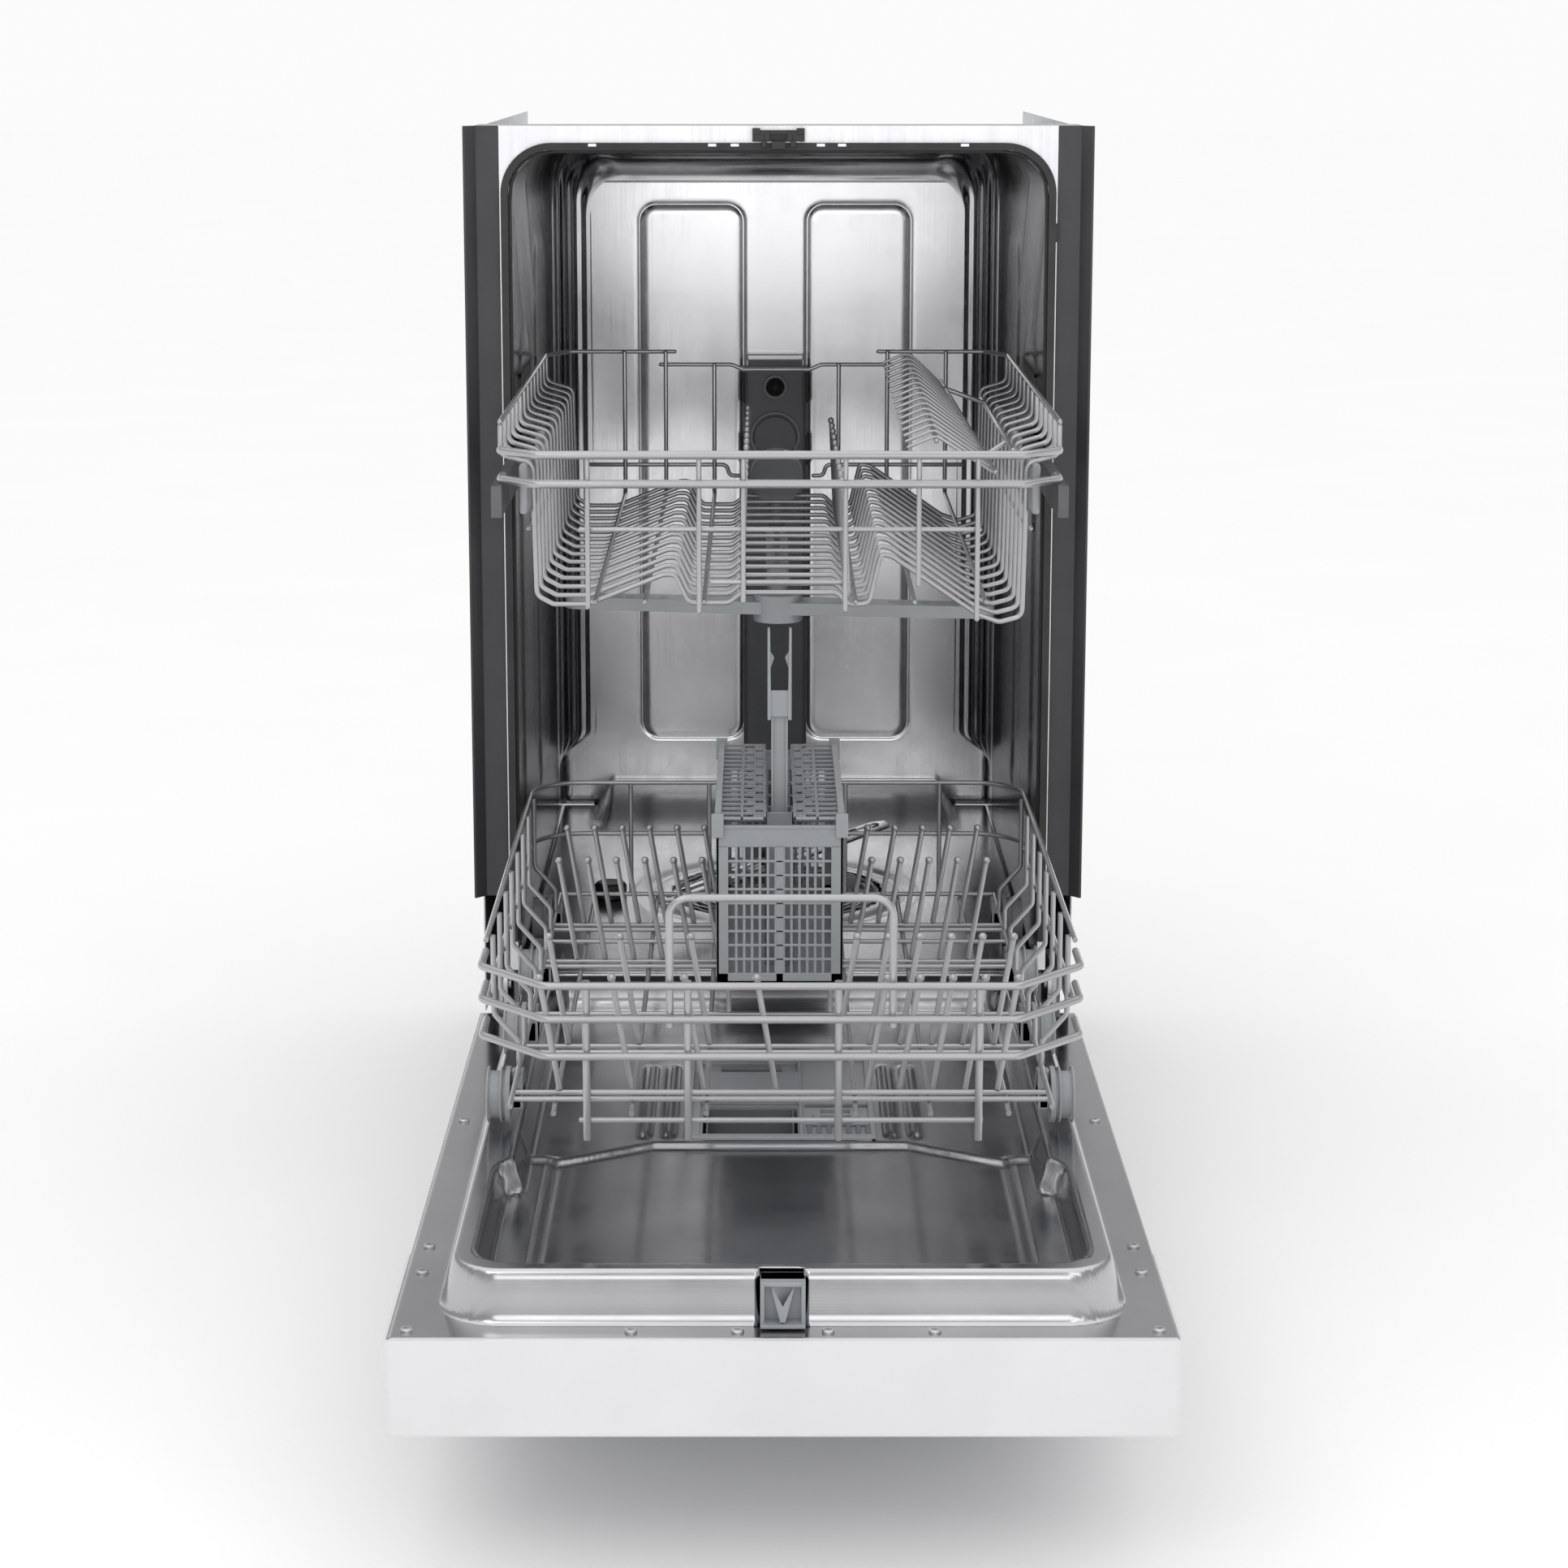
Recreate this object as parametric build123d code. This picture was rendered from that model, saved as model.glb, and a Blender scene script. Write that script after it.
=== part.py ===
"""Built-in dishwasher, 45 cm class: door open, both racks drawn out.

The origin lies on the floor, midway across the width, in the plane of the tub's front flange.
+X is to the right for someone facing the door, +Y goes into the cabinet and +Z is up. Millimetres.
"""

import os
from math import atan2, cos, degrees, radians, sin

from build123d import *

os.makedirs("parts", exist_ok=True)

# Cabinet
CABINET_HALF = 218.0
CABINET_TOP = 815.0
CABINET_BACK = 555.0
SHEET = 1.2

# Tub
TUB_HALF = 191.5
TUB_TOP = 797.0
TUB_BACK = 540.0
TUB_FLOOR = 193.7
TUB_RADIUS = 30.0
SUMP_X, SUMP_Y = 0.0, 231.0
SUMP_RADIUS = 84.0

# Front frame
FLANGE_HALF = 198.7
TRIM_STEP = 216.1
TRIM_EDGE = 223.7
TRIM_PROUD = 9.0
TRIM_BOTTOM = 252.0
SILL_BOTTOM = 163.0

# Door, lying open
HINGE_Y, HINGE_Z = 9.5, 181.5
DOOR_HALF = 222.0
DOOR_TOP = 160.0
DOOR_BOTTOM = 102.0
DOOR_FRONT = -620.0
PANEL_BACK = -489.0
PLUG_HALF = 198.0
PLUG_FRONT, PLUG_BACK = -600.0, -4.0
PLUG_RIM = 190.0
PLUG_RADIUS = 38.0
PAN_DEPTH = 24.0

# Lower rack
WIRE = 3.4
RAIL = 4.8
RACK_HALF = 186.0
LOWER_RIM = 316.0
LOWER_FLOOR = 229.0
LOWER_FRONT, LOWER_BACK = -434.0, 93.0
WHEEL_RADIUS = 18.0
WHEEL_Z = 212.0
WHEEL_Y = (-344.0, -203.0, -61.0, 80.0)
WHEEL_INNER, WHEEL_OUTER = 172.0, 187.0
AXLE_RADIUS = 3.0
RUNNING_FIT = 0.05

# Cutlery basket
BASKET_HALF = 42.0
BASKET_FRONT, BASKET_BACK = -251.0, -17.0
BASKET_BOTTOM, BASKET_TOP = 258.0, 366.0
HANDLE_Y = -205.0
HANDLE_TIP = 490.0

# Upper rack
UPPER_HALF = 184.0
UPPER_RIM = 625.0
UPPER_FLOOR = 500.0
UPPER_FRONT, UPPER_BACK = -232.0, 283.0
ROLLER_RADIUS = 9.0
ROLLER_Z = 577.0
ROLLER_Y = (32.0, 96.0)
UPPER_ARM_Y, UPPER_ARM_Z = 40.0, 463.0


def block(low, high):
    """Box between two opposite corners."""
    size = [b - a for a, b in zip(low, high)]
    middle = [(a + b) / 2 for a, b in zip(low, high)]
    return Pos(*middle) * Box(*size)


def pair(low, high):
    """A box on the right and its mirror image on the left."""
    right = block(low, high)
    left = block((-high[0], low[1], low[2]), (-low[0], high[1], high[2]))
    return [left, right]


def rod(start, end, diameter):
    """Straight round rod."""
    run = Vector(*end) - Vector(*start)
    return extrude(Plane(origin=start, z_dir=run) * Circle(diameter / 2), amount=run.length)


def bent_rod(points, diameter, radius):
    """Round rod along straight runs joined by arcs."""
    path = FilletPolyline(*points, radius=radius)
    return sweep(Plane(origin=path @ 0, z_dir=path % 0) * Circle(diameter / 2), path=path)


def tube(start, end, outer, inner):
    """Straight round tube, by its two diameters."""
    return rod(start, end, outer) - rod(start, end, inner)


def cut_into(shape, axis, cuts):
    """Separate pieces of a shape, cut across one axis."""
    far = 2000.0
    edges = [-far, *cuts, far]
    pieces = []
    for a, b in zip(edges, edges[1:]):
        low, high = [-far] * 3, [far] * 3
        low[axis], high[axis] = a, b
        pieces += (shape & block(low, high)).solids()
    return pieces


def mirrored(shapes):
    """The shapes and their mirror images across the middle of the width."""
    return [*shapes, *(mirror(shape, about=Plane.YZ) for shape in shapes)]


def rounded_slab(half_width, front, back, bottom, top, radius, taper=0.0):
    """Flat slab with rounded corners in plan; taper leans its sides inward."""
    outline = Pos(0, (front + back) / 2) * RectangleRounded(2 * half_width, back - front, radius)
    return extrude(Plane.XY.offset(bottom) * outline, amount=top - bottom, taper=taper)


def save(name, *shapes):
    """One file per sub-part; a group of like pieces stays separate solids."""
    solids = [solid for shape in shapes for solid in shape.solids()]
    part = solids[0] if len(solids) == 1 else Compound(children=solids)
    part.label = name
    export_step(part, f"parts/{name}.step")


# ---------------------------------------------------------------- tub

def tub_block(grow):
    """The tub's inside, grown by a wall thickness: its roof and back corners are rounded."""
    half, top, back = TUB_HALF + grow, TUB_TOP + grow, TUB_BACK + grow
    front = -50.0 if grow == 0 else 0.0
    body = block((-half, front, TUB_FLOOR - grow), (half, back, top))
    along = body.edges().filter_by(Axis.Y).group_by(Axis.Z)[-1]
    upright = body.edges().filter_by(Axis.Z).group_by(Axis.Y)[-1]
    across = body.edges().filter_by(Axis.X).group_by(Axis.Y)[-1].group_by(Axis.Z)[-1]
    return fillet([*along, *upright, *across], TUB_RADIUS + grow)


def make_tub():
    shell = tub_block(SHEET) - tub_block(0)
    side_top = TUB_TOP - TUB_RADIUS
    bend = TUB_BACK - TUB_RADIUS
    wide, deep, high = 300.0, 700.0, 900.0
    roof = shell & block((-wide, 0, side_top), (wide, bend, high))
    back = shell & block((-wide, bend, 0), (wide, deep, high))
    left = shell & block((-wide, 0, TUB_FLOOR), (-150, bend, side_top))
    right = shell & block((150, 0, TUB_FLOOR), (wide, bend, side_top))
    floor = shell & block((-wide, 0, 0), (wide, bend, TUB_FLOOR))
    floor -= Pos(SUMP_X, SUMP_Y, TUB_FLOOR) * Cylinder(SUMP_RADIUS, 20)
    float_hole = Pos(FLOAT_X, FLOAT_Y, TUB_FLOOR) * Cylinder(5, 20)
    lip = block((-150, 0, TUB_FLOOR), (150, 5, 217))
    save("tub_roof", roof)
    save("tub_back", back)
    save("tub_left_side", left)
    save("tub_right_side", right)
    save("tub_floor", floor - float_hole, lip)


def opening(grow, front, back, bottom):
    """Slab with the outline of the tub's mouth, grown on the sides and the top."""
    half, top = TUB_HALF + grow, TUB_TOP + grow
    slab = block((-half, front, bottom), (half, back, top))
    corners = slab.edges().filter_by(Axis.Y).group_by(Axis.Z)[-1]
    return fillet(corners, TUB_RADIUS + grow)


GASKET_FRONT = -7.0
FLANGE_THICK = 1.5


def make_front_frame():
    plate = block((-FLANGE_HALF, -FLANGE_THICK, 195), (FLANGE_HALF, 0, CABINET_TOP))
    save("front_flange", plate - opening(0, -20, 20, 100))
    gasket = opening(6.0, GASKET_FRONT, -FLANGE_THICK, 218) - opening(0.8, -20, 20, 100)
    save("tub_gasket", gasket)

    profile = Polyline(
        (FLANGE_HALF + 0.3, 0), (TRIM_STEP, 0), (TRIM_EDGE, -TRIM_PROUD),
        (TRIM_EDGE - 1.5, -TRIM_PROUD), (TRIM_STEP - 1, -FLANGE_THICK),
        (FLANGE_HALF + 0.3, -FLANGE_THICK), close=True,
    )
    trim = extrude(Plane.XY.offset(TRIM_BOTTOM) * make_face(profile), amount=CABINET_TOP - TRIM_BOTTOM)
    save("side_trims", *mirrored([trim]))

    save("side_panels", *pair((CABINET_HALF - 1, 2, SILL_BOTTOM), (CABINET_HALF, CABINET_BACK, 813)))
    gap = SHEET + 0.3
    thick = 3.0
    inner = TUB_HALF + gap
    mats = pair((inner, 12, 225), (inner + thick, 500, 760))
    mats.append(block((-150, 12, TUB_TOP + gap), (150, 500, TUB_TOP + gap + thick)))
    mats.append(block((-150, TUB_BACK + gap, 225), (150, TUB_BACK + gap + thick, 760)))
    save("insulation_mats", *mats)


BRACE_BOTTOM = 804.0
BRACE_Y = (4.0, 46.0)
BRACKET_X = 150.0
BRACKET_Y = 22.0
BRACKET_HOLE = 2.5


def make_top_brace():
    """Folded strap across the top, with two screw holes for the worktop above."""
    outer = block((-216.5, BRACE_Y[0], BRACE_BOTTOM), (216.5, BRACE_Y[1], CABINET_TOP))
    hollow = block((-230, BRACE_Y[0] + 1.5, 700), (230, BRACE_Y[1] - 1.5, CABINET_TOP - 1.5))
    brace = outer - hollow
    for x in (-BRACKET_X, BRACKET_X):
        brace -= Pos(x, BRACKET_Y, CABINET_TOP) * Cylinder(BRACKET_HOLE, 20)
    save("top_brace", brace)


CATCH_HALF = 18.5


def make_door_catch():
    """Catch over the tub's mouth: a housing with two sprung jaws that grip the striker."""
    housing = block((-CATCH_HALF, -9, 804), (CATCH_HALF, -FLANGE_THICK, 812))
    housing -= block((-6, -30, 800), (6, -4, 809.5))
    jaws = pair((6.5, -11, 805), (9.5, -9, 811))
    save("door_catch", housing + jaws[0] + jaws[1])


DUCT_HALF = 28.0
DUCT_FRONT = 525.0
DUCT_TOP = 592.0
PORT_Z = 575.0
DOME_Z = 530.0


def make_water_duct():
    """Flat water pipe up the back wall, with the socket for the upper rack and a roof nozzle."""
    body = block((-DUCT_HALF, DUCT_FRONT, 208), (DUCT_HALF, TUB_BACK, DUCT_TOP))
    body = fillet(body.edges().filter_by(Axis.Z).group_by(Axis.Y)[0], 5)
    body -= Pos(0, DUCT_FRONT, PORT_Z) * Rot(90, 0, 0) * Cylinder(8.5, 16)
    body += Pos(0, DUCT_FRONT, DOME_Z) * Rot(90, 0, 0) * Cylinder(18, 12)
    cap = block((-24, DUCT_FRONT + 2, DUCT_TOP), (24, TUB_BACK, DUCT_TOP + 10))
    foot = block((-DUCT_HALF + 4, 470, TUB_FLOOR), (DUCT_HALF - 4, TUB_BACK, 208))
    foot = fillet(foot.edges().filter_by(Axis.X).group_by(Axis.Z)[-1].group_by(Axis.Y)[0], 6)
    save("water_duct", body + cap + foot)


ROLLER_X = (183.6, 188.8)


def make_tub_rollers():
    """Four rollers on pins in the tub's sides, on which the upper rack's rails run."""
    pins = []
    for y in ROLLER_Y:
        shaft = rod((ROLLER_X[0], y, ROLLER_Z), (TUB_HALF, y, ROLLER_Z), 2 * AXLE_RADIUS)
        shoulder = rod((ROLLER_X[1] + 0.3, y, ROLLER_Z), (TUB_HALF, y, ROLLER_Z), 12)
        pins.append(shaft + shoulder)
    save("roller_pins", *mirrored(pins))
    for name, y in zip(("front", "rear"), ROLLER_Y):
        bore = 2 * (AXLE_RADIUS + RUNNING_FIT)
        roller = tube((ROLLER_X[0], y, ROLLER_Z), (ROLLER_X[1], y, ROLLER_Z), 2 * ROLLER_RADIUS, bore)
        save(f"upper_rollers_{name}", *mirrored([roller]))


# ---------------------------------------------------------------- sump, filters and spray arm

FLOAT_X, FLOAT_Y, FLOAT_RADIUS = -134.0, 215.0, 13.0
FLOAT_TOP = 206.0
CUP_X, CUP_Y, CUP_RADIUS = 46.0, 262.0, 24.0
ARM_HUB = 18.0
ARM_REACH = 162.0
ARM_Z = 218.0
ARM_TURN = 55.0


def make_sump():
    well = Pos(SUMP_X, SUMP_Y, 165) * Cylinder(SUMP_RADIUS - 0.5, 57)
    well -= Pos(SUMP_X, SUMP_Y, 168) * Cylinder(SUMP_RADIUS - 4, 57)
    pit = Pos(CUP_X, CUP_Y, 118) * Cylinder(32, 40) - Pos(CUP_X, CUP_Y, 121) * Cylinder(28.5, 40)
    well -= Pos(CUP_X, CUP_Y, 138) * Cylinder(28.5, 20)
    riser = rod((SUMP_X, SUMP_Y, 137), (SUMP_X, SUMP_Y, ARM_Z + 0.5), 18)
    save("sump", well + pit + riser)

    plate = Pos(SUMP_X, SUMP_Y, 192.3) * Cylinder(SUMP_RADIUS - 4.5, 2.4)
    plate -= Pos(SUMP_X, SUMP_Y, 192.3) * Cylinder(10, 10)
    plate -= Pos(CUP_X, CUP_Y, 192.3) * Cylinder(CUP_RADIUS + 0.5, 10)
    for turn in range(0, 360, 20):
        groove = Rot(0, 0, turn) * Pos(66, 0, 193.4) * Box(18, 1.6, 1.2)
        plate -= Pos(SUMP_X, SUMP_Y, 0) * groove
    save("coarse_filter", plate)

    cup = Pos(CUP_X, CUP_Y, 155) * Cylinder(CUP_RADIUS, 76)
    cup -= Pos(CUP_X, CUP_Y, 157) * Cylinder(CUP_RADIUS - 1.8, 76)
    grip = Pos(CUP_X, CUP_Y, 190) * Box(2 * CUP_RADIUS - 4, 4, 16)
    save("filter_cup", cup + (grip & (Pos(CUP_X, CUP_Y, 190) * Cylinder(CUP_RADIUS - 0.5, 30))))


def spray_arm(reach, width, thick):
    """Flat blade with rounded ends, narrower at the tips, and a slim waist at the hub."""
    root, tip = width / 2, width * 0.34
    half = Polyline((0, -root), (reach - tip, -tip))
    other = Polyline((reach - tip, tip), (0, root))
    end = ThreePointArc((reach - tip, -tip), (reach, 0), (reach - tip, tip))
    side = Line((0, root), (0, -root))
    wing = extrude(make_face([*half.edges(), *end.edges(), *other.edges(), *side.edges()]), amount=thick)
    return wing + Rot(0, 0, 180) * wing


def make_lower_arm():
    arm = Pos(0, 0, -4) * spray_arm(ARM_REACH, 34, 8)
    hub = rod((0, 0, -6), (0, 0, 5), 2 * ARM_HUB)
    socket = rod((0, 0, -10), (0, 0, 1), 2 * (9 + RUNNING_FIT))
    arm = arm + hub - socket
    for side in (0, 180):
        for place in (70, 98, 126, 150):
            arm -= Rot(0, 0, side) * Pos(place, 3, 4) * Box(9, 4, 3)
    save("lower_spray_arm", Pos(SUMP_X, SUMP_Y, ARM_Z) * Rot(0, 0, ARM_TURN) * arm)


def make_float():
    bottom = TUB_FLOOR + 0.5
    cap = rod((FLOAT_X, FLOAT_Y, bottom), (FLOAT_X, FLOAT_Y, FLOAT_TOP), 2 * FLOAT_RADIUS)
    cap = fillet(cap.edges().group_by(Axis.Z)[-1], 4)
    cap -= rod((FLOAT_X, FLOAT_Y, bottom), (FLOAT_X, FLOAT_Y, FLOAT_TOP - 2), 2 * FLOAT_RADIUS - 4)
    stem = rod((FLOAT_X, FLOAT_Y, 168), (FLOAT_X, FLOAT_Y, FLOAT_TOP - 1), 6)
    save("float_cap", cap + stem)


# ---------------------------------------------------------------- base and works

BASE_BACK = 553.0
BASE_FRONT = 66.0
BASE_HALF = 216.5
BASE_FLOOR = 30.0
FOOT_X, FOOT_FRONT, FOOT_REAR = 195.0, 90.0, 530.0
OUTLET_X, OUTLET_Z = 150.0, 96.0
INLET_X, INLET_Z = -160.0, 94.0
INLET_THREAD = 13.2
OUTLET_HOLE = 12.0
INLET_HOLE = 15.0


def make_base():
    """Plastic base pan with the sill under the tub's mouth, carried on four screw feet."""
    pan = block((-BASE_HALF, BASE_FRONT, BASE_FLOOR), (BASE_HALF, BASE_BACK, 190))
    pan -= block((-BASE_HALF + 3, BASE_FRONT + 3, BASE_FLOOR + 3), (BASE_HALF - 3, BASE_BACK - 3, 200))
    sill = block((-196, -FLANGE_THICK, SILL_BOTTOM), (196, BASE_FRONT, TUB_FLOOR - SHEET - 0.2))
    sill -= block((-190, 3, SILL_BOTTOM + 3), (190, BASE_FRONT - 3, 300))
    for x in (-FOOT_X, FOOT_X):
        for y in (FOOT_FRONT, FOOT_REAR):
            pan += Pos(x, y, BASE_FLOOR + 15) * Cylinder(12, 30)
            pan -= Pos(x, y, BASE_FLOOR + 15) * Cylinder(5.05, 60)
    pan -= rod((OUTLET_X, 500, OUTLET_Z), (OUTLET_X, 600, OUTLET_Z), 2 * OUTLET_HOLE)
    pan -= rod((INLET_X, 500, INLET_Z), (INLET_X, 600, INLET_Z), 2 * INLET_HOLE)
    save("base_frame", pan + sill)

    feet = []
    for x in (-FOOT_X, FOOT_X):
        for y in (FOOT_FRONT, FOOT_REAR):
            pad = fillet((Pos(x, y, 6) * Cylinder(19, 12)).edges().group_by(Axis.Z)[-1], 3)
            feet.append(pad + rod((x, y, 10), (x, y, 70), 10))
    save("levelling_feet", *feet)

    kick = block((-210, BASE_FRONT - 6, 34), (210, BASE_FRONT - 0.2, 98))
    save("toe_kick", fillet(kick.edges().filter_by(Axis.Z), 2))


def make_works():
    """Pumps and water inlet inside the base."""
    y = 330.0
    body = rod((-20, y, 84), (-128, y, 84), 76)
    volute = rod((-20, y, 84), (4, y, 84), 88)
    spout = rod((-8, y - 26, 84), (-8, y - 26, 134), 26)
    save("wash_pump", body + volute + spout)

    motor = rod((70, 150, 70), (138, 150, 70), 52)
    chamber = rod((46, 150, 70), (70, 150, 70), 60)
    elbow = rod((58, 176, 70), (58, 214, 70), 20)
    save("drain_pump", motor + chamber + elbow)
    outlet = tube((OUTLET_X, 440, OUTLET_Z), (OUTLET_X, BASE_BACK + 22, OUTLET_Z), 20, 16)
    outlet += tube((OUTLET_X, BASE_BACK - 9, OUTLET_Z), (OUTLET_X, BASE_BACK - 3.2, OUTLET_Z), 30, 16)
    save("drain_outlet", outlet)

    valve = block((-178, 470, 76), (-142, 530, 112))
    valve = fillet(valve.edges().filter_by(Axis.Y), 4)
    thread = tube((INLET_X, 530, INLET_Z), (INLET_X, BASE_BACK + 18, INLET_Z), 2 * INLET_THREAD, 12)
    coil = rod((INLET_X, 490, 112), (INLET_X, 490, 140), 28)
    save("inlet_valve", valve + thread + coil)


ARM_PLATE = (201.0, 204.0)
BRACKET_PLATE = (205.0, 208.0)
HINGE_PIN = 4.0


def make_hinges():
    """Each hinge: a cabinet bracket with the pin, and a door arm that turns on the pin."""
    inner, outer = BRACKET_PLATE
    bracket = block((inner, 5, 150), (outer, BASE_FRONT, 192))
    pin = rod((ARM_PLATE[0] - 2, HINGE_Y, HINGE_Z), (inner, HINGE_Y, HINGE_Z), 2 * HINGE_PIN)
    save("hinge_brackets", *mirrored([bracket + pin]))

    near, far = ARM_PLATE
    eye = rod((near, HINGE_Y, HINGE_Z), (far, HINGE_Y, HINGE_Z), 24)
    neck = block((near, HINGE_Y - 10, DOOR_TOP - 22), (far, HINGE_Y + 10, HINGE_Z))
    blade = block((near, -260, DOOR_TOP - 30), (far, HINGE_Y + 10, DOOR_TOP - 8))
    arm = eye + neck + blade
    arm -= rod((near - 5, HINGE_Y, HINGE_Z), (far + 5, HINGE_Y, HINGE_Z), 2 * (HINGE_PIN + RUNNING_FIT))
    save("hinge_arms", *mirrored([arm]))

    spring = tube((207.5, 110, 60), (207.5, 260, 60), 8, 5)
    save("door_springs", *mirrored([spring]))


# ---------------------------------------------------------------- door

LINER = 1.2
PLUG_LEAN = degrees(atan2(PLUG_HALF - 189.0, PLUG_RIM - DOOR_TOP))
PAN_HALF = 183.0
TRACK_HALF = 169.0
TRACK_FRONT = -400.0
DISPENSER_X = (-57.0, 58.0)
DISPENSER_Y = (-307.0, -147.0)
STRIKER_HALF = 13.0


def plug(grow):
    """Raised plug of the liner; a negative growth gives the inside of its sheet."""
    return rounded_slab(PLUG_HALF + grow, PLUG_FRONT - grow, PLUG_BACK + grow, DOOR_TOP - 1,
                        PLUG_RIM + grow, PLUG_RADIUS + grow, PLUG_LEAN)


def pan(grow):
    """Recess inside the plug: narrow between the wheel tracks, wide in front of them."""
    top, depth = PLUG_RIM + 2, PAN_DEPTH + 2 + grow
    wide = rounded_slab(PAN_HALF + grow, PLUG_FRONT + 14 - grow, TRACK_FRONT + grow,
                        top - depth, top, 26 + grow)
    narrow = rounded_slab(TRACK_HALF + grow, PLUG_FRONT + 60, PLUG_BACK - 14 + grow,
                          top - depth, top, 16 + grow)
    return wide + narrow


def make_liner():
    wide = block((-DOOR_HALF, DOOR_FRONT, DOOR_TOP - LINER), (DOOR_HALF, 4, DOOR_TOP))
    wide = fillet(wide.edges().filter_by(Axis.Z).group_by(Axis.Y)[0], 3)
    flange = wide - rounded_slab(PLUG_HALF - 1, PLUG_FRONT + 1, PLUG_BACK - 1, 100, 300, PLUG_RADIUS - 1)
    skin = (plug(0) - plug(-LINER)) & block((-300, -700, DOOR_TOP - LINER), (300, 100, 300))
    recess = pan(LINER) & plug(0)
    liner = flange + skin + recess - pan(0)
    low, high = PLUG_RIM - PAN_DEPTH - LINER - 5, PLUG_RIM + 5
    liner -= block((DISPENSER_X[0], DISPENSER_Y[0], low), (DISPENSER_X[1], DISPENSER_Y[1], high))
    liner -= block((-STRIKER_HALF, PLUG_FRONT - 5, 161), (STRIKER_HALF, PLUG_FRONT + 14, high))
    for slot in pair((ARM_PLATE[0] - 2, -4, 150), (BRACKET_PLATE[1] + 1, 10, 170)):
        liner -= slot
    save("inner_liner", liner)


def make_striker():
    """Wedge-nosed hook in the plug's front wall, which the catch grips when the door shuts."""
    back = block((-STRIKER_HALF + 0.2, PLUG_FRONT + 4, 161.2), (STRIKER_HALF - 0.2, PLUG_FRONT + 13.8, 187))
    nose_plane = Plane.XY.offset(161.2)
    outline = Polyline((-10, PLUG_FRONT + 4), (10, PLUG_FRONT + 4), (0, PLUG_FRONT - 8), close=True)
    nose = extrude(nose_plane * make_face(outline), amount=21)
    save("latch_striker", back + nose)


def make_outer_panel():
    tray = block((-DOOR_HALF, PANEL_BACK + 0.2, DOOR_BOTTOM + 1), (DOOR_HALF, 40, DOOR_TOP - LINER - 0.2))
    tray -= block((-DOOR_HALF + 1, PANEL_BACK - 5, DOOR_BOTTOM + 2), (DOOR_HALF - 1, 39, 300))
    tray = tray - block((-300, 4.5, 135), (300, 100, 300))
    save("outer_panel", tray)


BUTTON_Y = -560.0
BUTTON_PITCH = 34.0
BUTTON_NAMES = ("power_button", "program_button", "start_button")
BUTTON_X = 96.0
BUTTON_TRAVEL = 2.0


def make_control_panel():
    """White fascia that wraps the door's upper end, with buttons in the face that looks forward
    when the door is shut and downward while it lies open."""
    side = 224.0
    shell = block((-side, DOOR_FRONT - 2, DOOR_BOTTOM), (side, PANEL_BACK, DOOR_TOP))
    shell = fillet(shell.edges().filter_by(Axis.Z).group_by(Axis.Y)[0], 5)
    shell = fillet(shell.edges().group_by(Axis.Z)[0].filter_by(Axis.X).group_by(Axis.Y)[0], 3)
    shell -= block((-side + 1.8, DOOR_FRONT, DOOR_BOTTOM + 2.5), (side - 1.8, PANEL_BACK + 5, 300))
    grip = block((-70, -540, DOOR_BOTTOM - 5), (40, -505, DOOR_BOTTOM + 14))
    shell -= grip
    pocket = block((-72, -542, DOOR_BOTTOM), (42, -503, DOOR_BOTTOM + 16)) - grip
    shell += pocket
    for index in range(len(BUTTON_NAMES)):
        x = BUTTON_X + index * BUTTON_PITCH
        shell -= Pos(x, BUTTON_Y, DOOR_BOTTOM) * Cylinder(8.3, 12)
    save("control_panel", shell)
    for index, name in enumerate(BUTTON_NAMES):
        x = BUTTON_X + index * BUTTON_PITCH
        key = Pos(x, BUTTON_Y, DOOR_BOTTOM + 3.5) * Cylinder(8, 9)
        key = fillet(key.edges().group_by(Axis.Z)[0], 1.2)
        key += Pos(x, BUTTON_Y, DOOR_BOTTOM + 7) * Cylinder(9.5, 2)
        save(name, key)


SCREW_SIDE_Y = (-244.0, -477.0, -519.0, -607.0)
SCREW_FRONT_X = (25.5, 85.5)


def make_liner_screws():
    screws = []
    places = [(212, y) for y in SCREW_SIDE_Y] + [(x, -609) for x in SCREW_FRONT_X]
    for x, y in places:
        head = Pos(x, y, DOOR_TOP + 0.9) * Cylinder(3.6, 1.8)
        head = fillet(head.edges().group_by(Axis.Z)[-1], 1)
        head -= Pos(x, y, DOOR_TOP + 1.6) * Box(0.9, 4, 1.2)
        head -= Pos(x, y, DOOR_TOP + 1.6) * Box(4, 0.9, 1.2)
        screws.append(head)
    save("liner_screws", *mirrored(screws))


CUP_SPLIT = 16.0
LID_Y = (-235.0, -173.0)


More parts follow.
